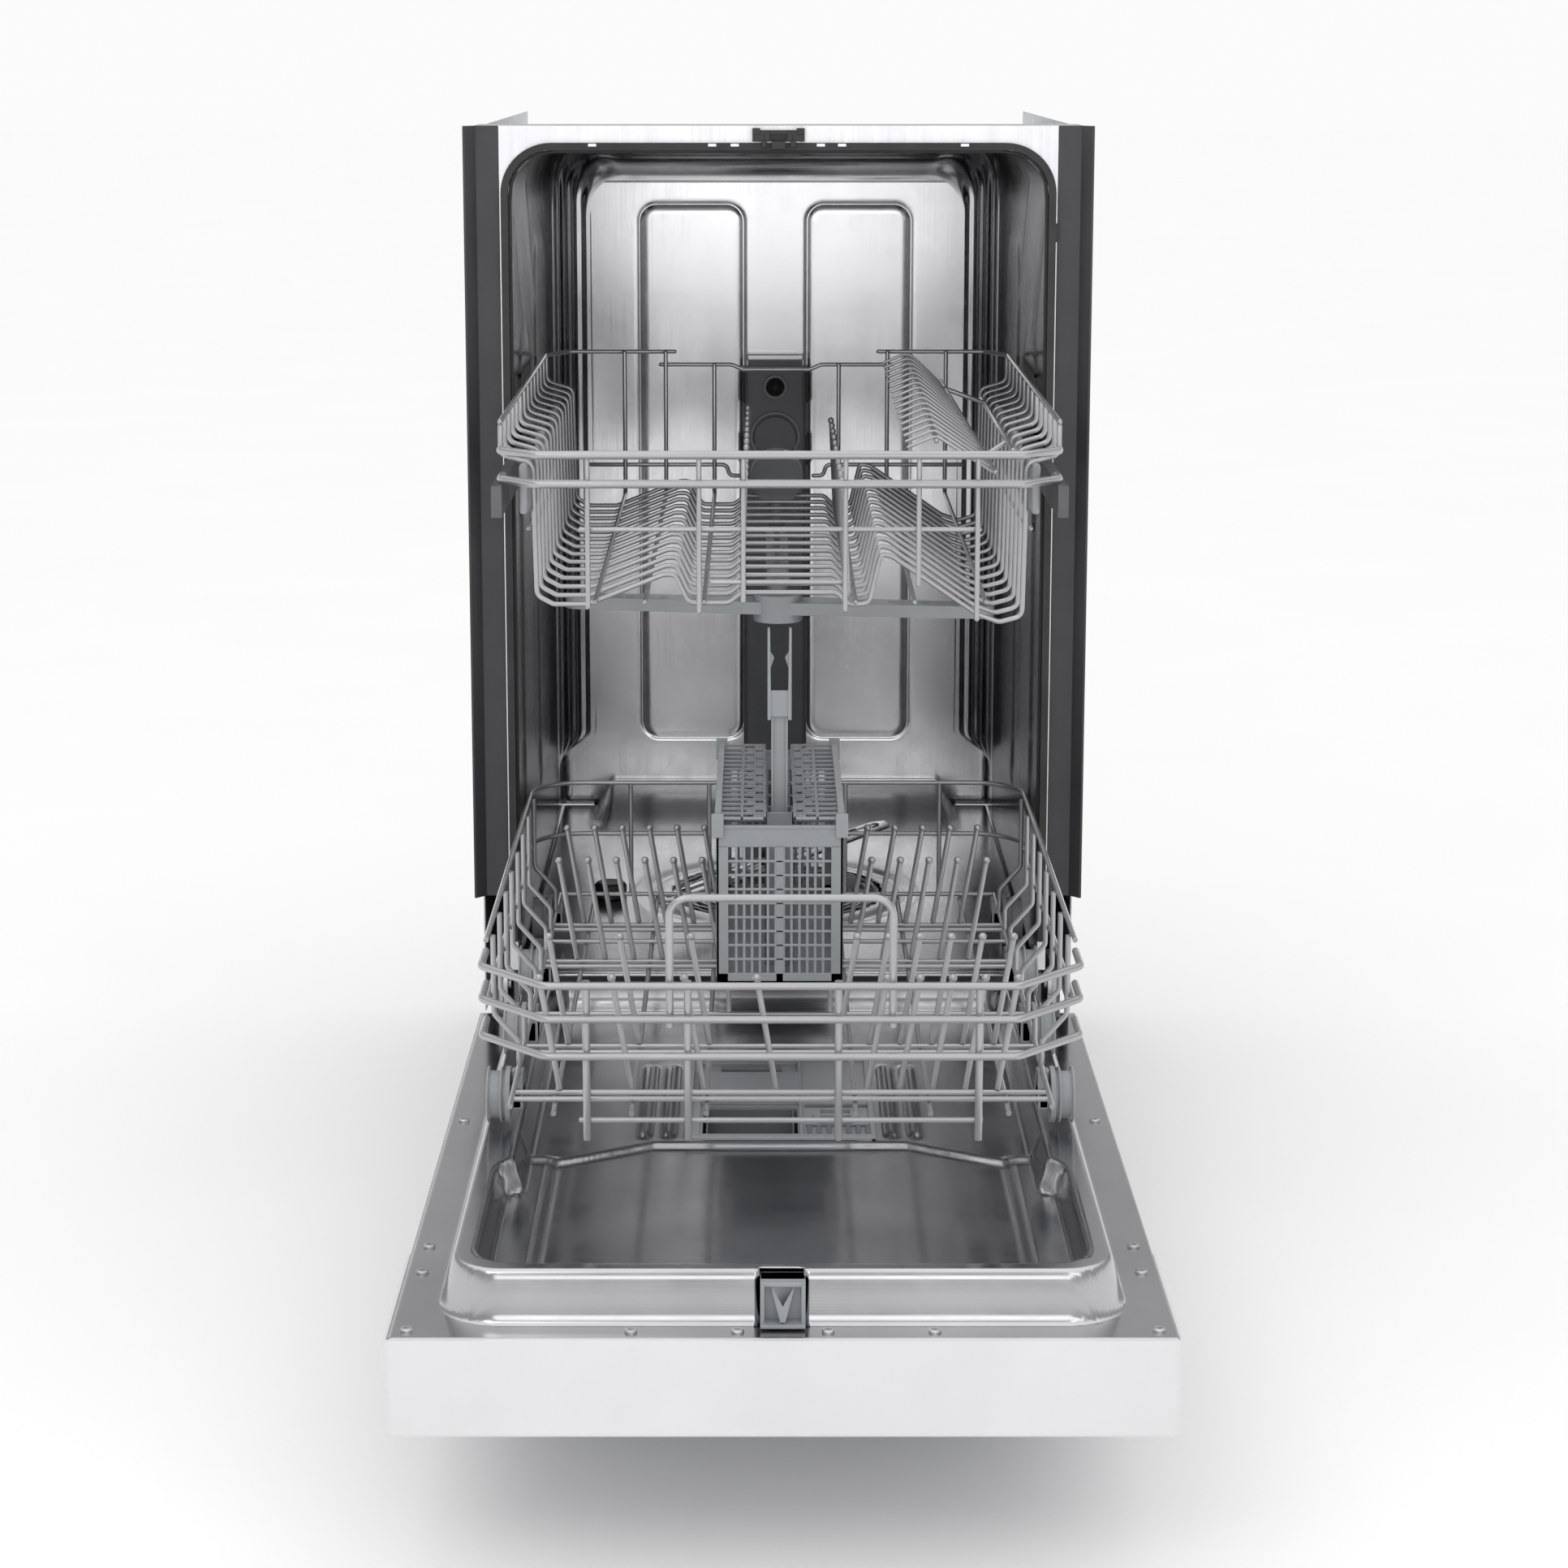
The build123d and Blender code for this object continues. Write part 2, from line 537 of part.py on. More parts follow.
def make_dispenser():
    """Detergent cup with a sliding lid on the left and the rinse-aid filler on the right."""
    (x0, x1), (y0, y1) = DISPENSER_X, DISPENSER_Y
    top = PLUG_RIM - PAN_DEPTH + 4
    frame = block((x0 + 0.3, y0 + 0.3, 122), (x1 - 0.3, y1 - 0.3, top))
    frame = fillet(frame.edges().filter_by(Axis.Z), 8)
    rim = rounded_slab((x1 - x0) / 2 + 5, y0 - 5, y1 + 5, PLUG_RIM - PAN_DEPTH + 0.2, top, 12)
    frame += Pos((x0 + x1) / 2, 0) * rim
    cup = block((x0 + 6, y0 + 8, 132), (CUP_SPLIT - 4, y0 + 70, top + 5))
    frame -= fillet(cup.edges().filter_by(Axis.Z), 6)
    frame -= block((x0 + 4, y0 + 6, top - 2), (CUP_SPLIT - 2, y1 - 4, top + 5))
    filler = Pos((CUP_SPLIT + x1) / 2, y0 + 40, top) * Cylinder(15.6, 20)
    frame -= filler
    save("dispenser_housing", frame)

    lid = block((x0 + 4.6, LID_Y[0], top - 1.6), (CUP_SPLIT - 2.6, LID_Y[1], top + 1.4))
    lid += block((x0 + 16, LID_Y[0] + 6, top + 1), (CUP_SPLIT - 14, LID_Y[0] + 12, top + 3.5))
    save("dispenser_lid", lid)

    centre = Pos((CUP_SPLIT + x1) / 2, y0 + 40, top - 3.5)
    cap = centre * Cylinder(15, 12)
    cap = fillet(cap.edges().group_by(Axis.Z)[-1], 1.5)
    cap -= centre * Pos(0, -6, 6) * Box(20, 8, 6)
    cap -= centre * Pos(0, 6, 6) * Box(20, 8, 6)
    save("rinse_aid_cap", cap)


# ---------------------------------------------------------------- lower rack

SIDE_WIRE_X = 167.0
TINE = 3.8
TINE_BALL = 2.7
TINE_TOP = 303.0
TINE_LEAN = 12.0
TINE_PITCH = 20.3
POST_X = (-119.0, -57.0, 35.0, 121.0)
REAR_POST_X = (-112.0, -52.0, 52.0, 124.0)
RAIL_Z = (310.0, 289.0, 265.5)
GRIP_HALF, GRIP_TOP = 68.0, 364.0
BASKET_REST_Y = (-225.0, -45.0)
DENSE_LEFT = [-54 - TINE_PITCH * step for step in range(6)]
DENSE_RIGHT = [66 + TINE_PITCH * step for step in range(5)]
TINE_ROWS = {
    0.0: DENSE_LEFT + DENSE_RIGHT,
    -97.0: DENSE_LEFT + DENSE_RIGHT,
    -297.0: [-150, -104, -58] + [50 + TINE_PITCH * step for step in range(6)],
    -392.0: [-150, -105, -60, -15] + DENSE_RIGHT,
}


def make_lower_floor():
    """Welded floor grid: cross wires lie on the lengthwise wires."""
    wires = []
    side = SIDE_WIRE_X
    for x in (-side, side):
        wires.append(rod((x, LOWER_FRONT + 14, LOWER_FLOOR), (x, LOWER_BACK - 4, LOWER_FLOOR), WIRE))
    ends = side - WIRE / 2
    rows = [*TINE_ROWS, *(y - 13 for y in TINE_ROWS), *BASKET_REST_Y, LOWER_BACK - WIRE]
    for y in rows:
        wires.append(rod((-ends, y, LOWER_FLOOR), (ends, y, LOWER_FLOOR), WIRE))
    for x in (-140, -92, -46, 46, 92, 140):
        low = LOWER_FLOOR - WIRE
        wires.append(rod((x, LOWER_FRONT + 11, low), (x, LOWER_BACK - WIRE, low), WIRE))
    for y in BASKET_REST_Y:
        foot, seat = LOWER_FLOOR + WIRE / 2, BASKET_BOTTOM - WIRE / 2 - 0.1
        wires.append(bent_rod([(-34, y, foot), (-34, y, seat), (34, y, seat), (34, y, foot)], WIRE, 5))
    save("lower_rack_floor", *wires)


def make_lower_walls():
    """Rims round the sides and the back, and the kinked wires that carry them."""
    solids = []
    for z in (LOWER_RIM, 276.0):
        reach = RACK_HALF
        route = [(-reach, -352, z), (-reach, LOWER_BACK, z), (reach, LOWER_BACK, z), (reach, -352, z)]
        solids += cut_into(bent_rod(route, WIRE, 40), 0, (-RACK_HALF + 42, RACK_HALF - 42))
    inside = RACK_HALF - WIRE
    foot = LOWER_FLOOR + WIRE / 2
    side_wires = []
    for step in range(8):
        y = -340 + step * 54
        route = [(inside, y, LOWER_RIM), (inside, y, 264), (SIDE_WIRE_X, y, 246), (SIDE_WIRE_X, y, foot)]
        side_wires.append(bent_rod(route, WIRE, 6))
    for x in REAR_POST_X:
        y = LOWER_BACK - WIRE
        solids.append(rod((x, y, foot), (x, y, LOWER_RIM), WIRE))
    save("lower_rack_walls", *solids, *mirrored(side_wires), *lower_front())


def lower_front():
    """Three heavy rails with chamfered corners, four posts, two thin wires and the raised grip."""
    solids = []
    for z in RAIL_Z:
        x, y = RACK_HALF, LOWER_FRONT
        half = [(x, -356), (x, y + 44), (x - 42, y)]
        route = [(-a, b, z) for a, b in half] + [(a, b, z) for a, b in reversed(half)]
        solids += cut_into(bent_rod(route, RAIL, 9), 0, (-140, 140))
    behind = LOWER_FRONT + RAIL
    for x in POST_X:
        solids.append(rod((x, behind, 211), (x, behind, RAIL_Z[0] + 2), RAIL))
    for z in (240.0, LOWER_FLOOR - 2 * WIRE):
        y = behind + (RAIL + WIRE) / 2
        solids.append(rod((-124, y, z), (124, y, z), WIRE))
    grip_half, grip_top = GRIP_HALF, GRIP_TOP
    foot = RAIL_Z[1] - 6
    route = [(-grip_half, behind, foot), (-grip_half, behind, grip_top),
             (grip_half, behind, grip_top), (grip_half, behind, foot)]
    solids += cut_into(bent_rod(route, RAIL, 12), 0, (-50, 50))
    return solids


def make_lower_tines():
    tines = []
    foot = LOWER_FLOOR + WIRE / 2 + 0.35
    for y, tops in TINE_ROWS.items():
        for top in tops:
            lean = TINE_LEAN if top > 0 else -TINE_LEAN
            shaft = rod((top - lean, y, foot), (top, y, TINE_TOP), TINE)
            tines.append(shaft + Pos(top, y, TINE_TOP) * Sphere(TINE_BALL))
    save("lower_rack_tines", *tines)


def make_lower_wheels():
    """Eight wheels: a drum that rolls and a wider guide flange on its inner side."""
    axles = []
    for y in WHEEL_Y:
        shaft = rod((SIDE_WIRE_X + 1, y, WHEEL_Z), (WHEEL_OUTER - 1, y, WHEEL_Z), 2 * AXLE_RADIUS)
        clip = block((SIDE_WIRE_X - 3, y - 9, WHEEL_Z - 6),
                     (SIDE_WIRE_X + 3, y + 9, LOWER_FLOOR - WIRE / 2 - 0.05))
        axles.append(shaft + clip)
    save("lower_wheel_axles", *mirrored(axles))
    for index, y in enumerate(WHEEL_Y, start=1):
        flange = rod((WHEEL_INNER, y, WHEEL_Z), (WHEEL_INNER + 3, y, WHEEL_Z), 2 * WHEEL_RADIUS)
        drum = rod((WHEEL_INNER, y, WHEEL_Z), (WHEEL_OUTER, y, WHEEL_Z), 2 * WHEEL_RADIUS - 6)
        drum = fillet(drum.edges().group_by(Axis.X)[-1], 2)
        wheel = flange + drum
        wheel -= rod((WHEEL_INNER - 5, y, WHEEL_Z), (WHEEL_OUTER + 5, y, WHEEL_Z),
                     2 * (AXLE_RADIUS + RUNNING_FIT))
        save(f"lower_wheels_{index}", *mirrored([wheel]))


# ---------------------------------------------------------------- cutlery basket

BASKET_WALL = 2.0
SLEEVE_HALF_X, SLEEVE_HALF_Y = 10.0, 9.0
LID_HINGE_X, LID_HINGE_Z = 41.0, 370.0
LID_PIN = 1.6


def lattice_windows():
    """Openings in the basket's walls: tall narrow windows in three rows."""
    windows = []
    rows = [(264, 288), (293, 317), (322, 346)]
    step = 11.0
    along = [BASKET_FRONT + 12 + step * i for i in range(20)]
    across = [-30 + 10 * i for i in range(7)]
    for low, high in rows:
        for y in along:
            windows.append(block((-60, y - 3.6, low), (60, y + 3.6, high)))
        for x in across:
            windows.append(block((x - 3.6, -300, low), (x + 3.6, 20, high)))
    return windows


def make_basket():
    shell = block((-BASKET_HALF, BASKET_FRONT, BASKET_BOTTOM), (BASKET_HALF, BASKET_BACK, BASKET_TOP))
    shell = fillet(shell.edges().filter_by(Axis.Z), 4)
    wall = BASKET_WALL
    inside = block((-BASKET_HALF + wall, BASKET_FRONT + wall, BASKET_BOTTOM + wall),
                   (BASKET_HALF - wall, BASKET_BACK - wall, BASKET_TOP + 10))
    shell = shell - inside
    shell = shell - Compound(children=lattice_windows())
    divider = block((-1, BASKET_FRONT + wall, BASKET_BOTTOM), (1, BASKET_BACK - wall, 350))
    sleeve = block((-SLEEVE_HALF_X, HANDLE_Y - SLEEVE_HALF_Y, BASKET_BOTTOM),
                   (SLEEVE_HALF_X, HANDLE_Y + SLEEVE_HALF_Y, BASKET_TOP))
    shaft = block((-SLEEVE_HALF_X + 1.5, HANDLE_Y - SLEEVE_HALF_Y + 1.5, BASKET_BOTTOM + wall),
                  (SLEEVE_HALF_X - 1.5, HANDLE_Y + SLEEVE_HALF_Y - 1.5, 500))
    basket = shell + divider + sleeve - shaft
    ear_z = (358.0, 374.0)
    for x in (-LID_HINGE_X, LID_HINGE_X):
        for y, way in ((BASKET_FRONT, 1), (BASKET_BACK, -1)):
            outer = y - way * 3
            ear = block((x - 4, min(y, outer), ear_z[0]), (x + 4, max(y, outer), ear_z[1]))
            pin = rod((x, outer, LID_HINGE_Z), (x, y + way * 7, LID_HINGE_Z), 2 * LID_PIN)
            basket += ear + pin
    save("cutlery_basket", basket)

    stem = block((-6, HANDLE_Y - 3, 354), (6, HANDLE_Y + 3, 430))
    fork = block((-8, HANDLE_Y - 5, 424), (8, HANDLE_Y + 5, HANDLE_TIP))
    fork = fillet(fork.edges().filter_by(Axis.Y).group_by(Axis.Z)[0], 6)
    fork -= block((-4.5, HANDLE_Y - 10, 440), (4.5, HANDLE_Y + 10, HANDLE_TIP + 5))
    save("basket_handle", stem + fork)

    near, far = BASKET_FRONT + 2.3, BASKET_BACK - 2.3
    lid = block((9, near, LID_HINGE_Z - 1.5), (LID_HINGE_X, far, LID_HINGE_Z + 1.5))
    slots = [block((14, near + 9 + 14 * i, 360), (36, near + 18 + 14 * i, 380)) for i in range(16)]
    lid -= Compound(children=slots)
    lid += rod((LID_HINGE_X, near, LID_HINGE_Z), (LID_HINGE_X, far, LID_HINGE_Z), 6.4)
    for start, end in ((near - 5, near + 7), (far + 5, far - 7)):
        lid -= rod((LID_HINGE_X, start, LID_HINGE_Z), (LID_HINGE_X, end, LID_HINGE_Z),
                   2 * (LID_PIN + RUNNING_FIT))
    save("basket_lid_right", lid)
    save("basket_lid_left", mirror(lid, about=Plane.YZ))


# ---------------------------------------------------------------- upper rack

UPPER_TRAVEL = 237.0
UPPER_RAIL_Z = (609.0, 590.0)
FLOOR_PROFILE = [(-172, 503), (-130, 503), (-76, 545), (-58, 545), (-38, 505), (48, 505),
                 (64, 560), (82, 550), (134, 500), (172, 500)]
PROFILE_CUTS = (-100, -48, 56, 108)


def make_upper_floor():
    """Waved cross wires for cups and glasses, on lengthwise wires."""
    solids = []
    first, last, count = UPPER_FRONT + 16, UPPER_BACK - 46, 12
    pitch = (last - first) / (count - 1)
    for i in range(count):
        y = first + i * pitch
        wave = bent_rod([(x, y, z) for x, z in FLOOR_PROFILE], WIRE, 5)
        solids += cut_into(wave, 0, PROFILE_CUTS)
    ends = UPPER_FRONT + RAIL / 2 + 1.6 * WIRE, UPPER_BACK - 8
    for x, top in ((-160, 503), (-138, 503), (-28, 505), (34, 505), (142, 500), (160, 500)):
        z = top - WIRE
        solids.append(rod((x, ends[0], z), (x, ends[1], z), WIRE))
    save("upper_rack_floor", *solids)


SHELF_X, SHELF_Z = 158.0, 602.0
SHELF_TILT = 32.0
SHELF_REACH = 68.0
SHELF_Y = (-150.0, 170.0)
SHELF_BAR = 4.0
CLIP_Y = (-110.0, 130.0)


def make_upper_walls():
    """Rims, rails and upright wires, and the clips that carry the cup shelf."""
    solids = []
    for z, reach in ((UPPER_RIM, UPPER_HALF), (556.0, UPPER_HALF - 2 * WIRE)):
        front, back = -196, UPPER_BACK
        route = [(-reach, front, z), (-reach, back, z), (reach, back, z), (reach, front, z)]
        solids += cut_into(bent_rod(route, WIRE, 28), 0, (-150, 150))
    for z in UPPER_RAIL_Z:
        half = [(UPPER_HALF, -192), (UPPER_HALF, -208), (UPPER_HALF - 24, UPPER_FRONT)]
        route = [(-a, b, z) for a, b in half] + [(a, b, z) for a, b in reversed(half)]
        solids += cut_into(bent_rod(route, RAIL, 7), 0, (-156, 156))
    for z in (560.0, 525.0):
        y = UPPER_FRONT + RAIL + WIRE
        solids.append(rod((-150, y, z), (150, y, z), WIRE))
    for x in (-140, -70, 34, 70, 140):
        y = UPPER_FRONT + (RAIL + WIRE) / 2
        solids.append(rod((x, y, 496), (x, y, UPPER_RAIL_Z[0]), WIRE))
    inside = UPPER_HALF - WIRE
    uprights = []
    first, last, count = UPPER_FRONT + 40, UPPER_BACK - 40, 12
    pitch = (last - first) / (count - 1)
    for i in range(count):
        y = first + i * pitch
        uprights.append(rod((inside, y, 502), (inside, y, UPPER_RIM), WIRE))
    for x in (-140, -70, 70, 140):
        y = UPPER_BACK - WIRE
        solids.append(rod((x, y, 502), (x, y, UPPER_RIM), WIRE))
    for y in CLIP_Y:
        ring = tube((SHELF_X, y - 3, SHELF_Z), (SHELF_X, y + 3, SHELF_Z), 10,
                    SHELF_BAR + 2 * RUNNING_FIT)
        arm = block((SHELF_X + 4, y - 3, SHELF_Z - 3), (inside - WIRE / 2 - 0.1, y + 3, SHELF_Z + 3))
        solids.append(ring + arm)
    save("upper_rack_walls", *solids, *mirrored(uprights))


def make_rack_rails():
    """Channel rails that run over the tub's rollers, each with a stop at either end."""
    web = (182.4, 183.2)
    lip = 189.3
    gap = 0.3
    low, high = ROLLER_Z - ROLLER_RADIUS - gap, ROLLER_Z + ROLLER_RADIUS + gap
    front = ROLLER_Y[0] - ROLLER_RADIUS - 2 - UPPER_TRAVEL - 8
    back = ROLLER_Y[1] + ROLLER_RADIUS + 0.5 + 8
    rail = block((web[0], front, low - SHEET), (web[1], back, high + SHEET))
    rail += block((web[0], front, high), (lip, back, high + SHEET))
    rail += block((web[0], front, low - SHEET), (lip, back, low))
    rail += block((web[0], front, low), (lip, front + 8, high))
    rail += block((web[0], back - 8, low), (lip, back, high))
    save("rack_rails", *mirrored([rail]))


def make_cup_shelf():
    tilt = radians(SHELF_TILT)
    solids = []

    def along(reach):
        return SHELF_X - reach * cos(tilt), SHELF_Z + reach * sin(tilt)

    solids.append(rod((SHELF_X, SHELF_Y[0], SHELF_Z), (SHELF_X, SHELF_Y[1], SHELF_Z), SHELF_BAR))
    comb = 3.0
    start, end = SHELF_BAR / 2, SHELF_REACH
    for step in range(15):
        y = SHELF_Y[0] + 6 + step * 22
        if min(abs(y - clip) for clip in CLIP_Y) < 7:
            continue
        (xa, za), (xb, zb) = along(start), along(end)
        solids.append(rod((xa, y, za), (xb, y, zb), comb))
    for reach in (30.0, 60.0):
        x, z = along(reach)
        x, z = x + comb * sin(tilt), z + comb * cos(tilt)
        solids.append(rod((x, SHELF_Y[0] + 2, z), (x, SHELF_Y[1] - 2, z), comb))
    save("cup_shelf", *solids)


PIPE_Z = 484.0
PIPE_RADIUS = 8.5
FUNNEL_BACK = DUCT_FRONT - 12 - UPPER_TRAVEL - 0.5


def make_upper_feed():
    """Pipe from the docking funnel to the arm's spigot, hung under the rack's floor."""
    riser_y = FUNNEL_BACK - 20
    pipe = rod((0, UPPER_ARM_Y - 6, PIPE_Z), (0, riser_y + 6, PIPE_Z), 2 * PIPE_RADIUS)
    pipe += rod((0, riser_y, PIPE_Z - PIPE_RADIUS + 1), (0, riser_y, DOME_Z), 14)
    pipe += rod((0, riser_y - 7, DOME_Z), (0, FUNNEL_BACK, DOME_Z), 42)
    pipe -= rod((0, riser_y + 7, DOME_Z), (0, FUNNEL_BACK + 10, DOME_Z), 37)
    pipe += rod((0, UPPER_ARM_Y, PIPE_Z), (0, UPPER_ARM_Y, UPPER_ARM_Z + 1), 16)
    save("feed_pipe", pipe)


def make_upper_arm():
    arm = Pos(0, 0, -5) * spray_arm(160, 30, 9)
    arm += rod((0, 0, -11), (0, 0, 9), 36)
    arm -= rod((0, 0, 0), (0, 0, 30), 2 * (8 + RUNNING_FIT))
    for side in (0, 180):
        for place in (60, 85, 110, 135):
            arm -= Rot(0, 0, side) * Pos(place, 3, 4) * Box(7, 3, 3)
    save("upper_spray_arm", Pos(0, UPPER_ARM_Y, UPPER_ARM_Z) * Rot(0, 0, -8) * arm)


make_tub()
make_front_frame()
make_top_brace()
make_door_catch()
make_water_duct()
make_tub_rollers()
make_sump()
make_lower_arm()
make_float()
make_base()
make_works()
make_hinges()
make_liner()
make_striker()
make_outer_panel()
make_control_panel()
make_liner_screws()
make_dispenser()
make_lower_floor()
make_lower_walls()
make_lower_tines()
make_lower_wheels()
make_basket()
make_upper_floor()
make_upper_walls()
make_rack_rails()
make_cup_shelf()
make_upper_feed()
make_upper_arm()
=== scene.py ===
"""Visual model of a slim built-in dishwasher, door open and racks out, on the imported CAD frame.

X right, Y from the door to the back, Z up, floor at Z 0. Shapes are written in millimetres and
scaled by MM. Materials, floor, lights and camera are in metres.
"""

from math import cos, pi, radians, sin, tan

import bmesh
import bpy
import numpy as np
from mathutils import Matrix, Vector


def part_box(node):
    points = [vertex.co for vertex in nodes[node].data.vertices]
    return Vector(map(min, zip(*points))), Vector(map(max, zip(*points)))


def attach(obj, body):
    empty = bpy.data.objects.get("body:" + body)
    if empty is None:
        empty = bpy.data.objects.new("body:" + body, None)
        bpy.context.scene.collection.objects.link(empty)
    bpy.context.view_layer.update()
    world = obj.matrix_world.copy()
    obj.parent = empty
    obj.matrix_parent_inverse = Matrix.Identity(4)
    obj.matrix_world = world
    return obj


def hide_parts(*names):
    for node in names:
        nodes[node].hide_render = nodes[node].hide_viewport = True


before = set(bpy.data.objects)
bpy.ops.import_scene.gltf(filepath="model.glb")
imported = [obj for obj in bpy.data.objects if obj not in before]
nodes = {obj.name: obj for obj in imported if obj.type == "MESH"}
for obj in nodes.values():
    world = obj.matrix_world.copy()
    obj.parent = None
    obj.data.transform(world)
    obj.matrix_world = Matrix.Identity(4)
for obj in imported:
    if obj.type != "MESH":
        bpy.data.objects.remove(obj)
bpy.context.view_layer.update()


# ---------------------------------------------------------------- materials


def shader(name, metallic, coat=0.0):
    """A new material with a Principled shader, and its node tree."""
    made = bpy.data.materials.new(name)
    made.use_nodes = True
    tree = made.node_tree
    bsdf = tree.nodes["Principled BSDF"]
    bsdf.inputs["Metallic"].default_value = metallic
    bsdf.inputs["Coat Weight"].default_value = coat
    bsdf.inputs["Coat Roughness"].default_value = 0.12
    return made, tree, bsdf


def noise(tree, scale, stretch=(1, 1, 1), detail=4.0, rough=0.55):
    """A noise texture over object coordinates, stretched per axis; scale is per metre."""
    place = tree.nodes.new("ShaderNodeTexCoord")
    mapping = tree.nodes.new("ShaderNodeMapping")
    mapping.inputs["Scale"].default_value = [scale * s for s in stretch]
    texture = tree.nodes.new("ShaderNodeTexNoise")
    texture.inputs["Scale"].default_value = 1.0
    texture.inputs["Detail"].default_value = detail
    texture.inputs["Roughness"].default_value = rough
    tree.links.new(place.outputs["Object"], mapping.inputs["Vector"])
    tree.links.new(mapping.outputs["Vector"], texture.inputs["Vector"])
    return texture.outputs["Fac"]


def spread(tree, source, low, high, start=0.3, end=0.7):
    """Maps a 0..1 source onto low..high."""
    node = tree.nodes.new("ShaderNodeMapRange")
    node.inputs["From Min"].default_value = start
    node.inputs["From Max"].default_value = end
    node.inputs["To Min"].default_value = low
    node.inputs["To Max"].default_value = high
    tree.links.new(source, node.inputs["Value"])
    return node.outputs["Result"]


def tint(tree, source, dark, light):
    """A colour ramp from dark to light along a 0..1 source."""
    ramp = tree.nodes.new("ShaderNodeValToRGB")
    ramp.color_ramp.elements[0].position = 0.3
    ramp.color_ramp.elements[1].position = 0.7
    ramp.color_ramp.elements[0].color = (*dark, 1)
    ramp.color_ramp.elements[1].color = (*light, 1)
    tree.links.new(source, ramp.inputs["Fac"])
    return ramp.outputs["Color"]


def bump(tree, bsdf, source, depth, strength=1.0):
    """Adds a bump of depth metres from a source to the shader's normal."""
    node = tree.nodes.new("ShaderNodeBump")
    node.inputs["Strength"].default_value = strength
    node.inputs["Distance"].default_value = depth
    tree.links.new(source, node.inputs["Height"])
    earlier = [link.from_socket for link in tree.links if link.to_socket == bsdf.inputs["Normal"]]
    if earlier:
        tree.links.new(earlier[0], node.inputs["Normal"])
    tree.links.new(node.outputs["Normal"], bsdf.inputs["Normal"])


def brushed(name, dark, light, rough, stretch, rim=1.0):
    """Rolled stainless sheet: fine brush lines along one axis, cloudy wear and water marks.

    A rim below 1 darkens the steel where it is seen at a grazing angle.
    """
    made, tree, bsdf = shader(name, 1.0)
    bsdf.inputs["Specular Tint"].default_value = (rim, rim, rim, 1)
    grain = noise(tree, 1.0, stretch, detail=3.0)
    clouds = noise(tree, 9.0, (1, 1, 0.45))
    marks = noise(tree, 60.0, detail=6.0)
    tree.links.new(tint(tree, clouds, dark, light), bsdf.inputs["Base Color"])
    add = tree.nodes.new("ShaderNodeMath")
    add.operation = "ADD"
    tree.links.new(spread(tree, grain, rough * 0.85, rough * 1.2), add.inputs[0])
    tree.links.new(spread(tree, marks, -0.02, 0.03), add.inputs[1])
    tree.links.new(add.outputs[0], bsdf.inputs["Roughness"])
    bump(tree, bsdf, grain, 0.00001, 0.1)
    bump(tree, bsdf, clouds, 0.0004, 0.15)
    return made


def moulded(name, dark, light, rough, grain=900.0, depth=0.00006, coat=0.0, metallic=0.0, wear=0.18):
    """Even surface with fine grain and slight tone drift; wear is how much the roughness varies."""
    made, tree, bsdf = shader(name, metallic, coat)
    drift = noise(tree, 14.0)
    pores = noise(tree, grain, detail=2.0)
    patches = noise(tree, 38.0, detail=5.0)
    tree.links.new(tint(tree, drift, dark, light), bsdf.inputs["Base Color"])
    tree.links.new(spread(tree, patches, rough * (1 - wear), rough * (1 + wear)),
                   bsdf.inputs["Roughness"])
    bump(tree, bsdf, pores, depth)
    return made


def spangled(name, crystals=170.0):
    """Galvanised sheet with its crystal spangle; crystals is how many stand along a metre."""
    made, tree, bsdf = shader(name, 0.9)
    place = tree.nodes.new("ShaderNodeTexCoord")
    cells = tree.nodes.new("ShaderNodeTexVoronoi")
    cells.inputs["Scale"].default_value = crystals
    tree.links.new(place.outputs["Object"], cells.inputs["Vector"])
    tone = tree.nodes.new("ShaderNodeSeparateColor")
    tree.links.new(cells.outputs["Color"], tone.inputs["Color"])
    tree.links.new(tint(tree, tone.outputs["Red"], (0.50, 0.51, 0.53), (0.57, 0.58, 0.60)),
                   bsdf.inputs["Base Color"])
    tree.links.new(spread(tree, tone.outputs["Green"], 0.34, 0.44, 0.0, 1.0), bsdf.inputs["Roughness"])
    bump(tree, bsdf, noise(tree, 160.0), 0.00005)
    return made


# Stretch of the brush lines: few changes per metre along the named axis, many across it.
ALONG_X, ALONG_Y, ALONG_Z = (12, 1500, 1500), (1500, 12, 1500), (1500, 1500, 12)

# The tub is one stainless sheet, given here in lit and shaded copies. The back wall's steel is made far
# lighter than the rest: painted light.
tub_back_steel_painted_light = brushed("tub_back_steel_painted_light", (0.80, 0.80, 0.82), (0.93, 0.93, 0.95), 0.21, ALONG_Z)
# The side walls' and roof's steel is made far darker, and darker still where it is seen at a grazing
# angle: painted shade. The rear corners' steel takes a tone between the two.
tub_side_steel_painted_shade = brushed("tub_side_steel_painted_shade", (0.24, 0.24, 0.245), (0.38, 0.38, 0.385), 0.15, ALONG_Z,
                         rim=0.25)
tub_corner_steel = brushed("tub_corner_steel", (0.46, 0.46, 0.47), (0.64, 0.64, 0.66), 0.13, ALONG_Z)
tub_floor_steel = brushed("tub_floor_steel", (0.50, 0.50, 0.51), (0.60, 0.60, 0.61), 0.2, ALONG_Y)
liner_steel = brushed("liner_steel", (0.46, 0.46, 0.475), (0.54, 0.54, 0.555), 0.17, ALONG_X)
# The flange's steel is made much lighter than the liner's: painted reflection of the white surround.
flange_steel = brushed("flange_steel", (0.72, 0.72, 0.745), (0.79, 0.79, 0.81), 0.36, ALONG_Z)
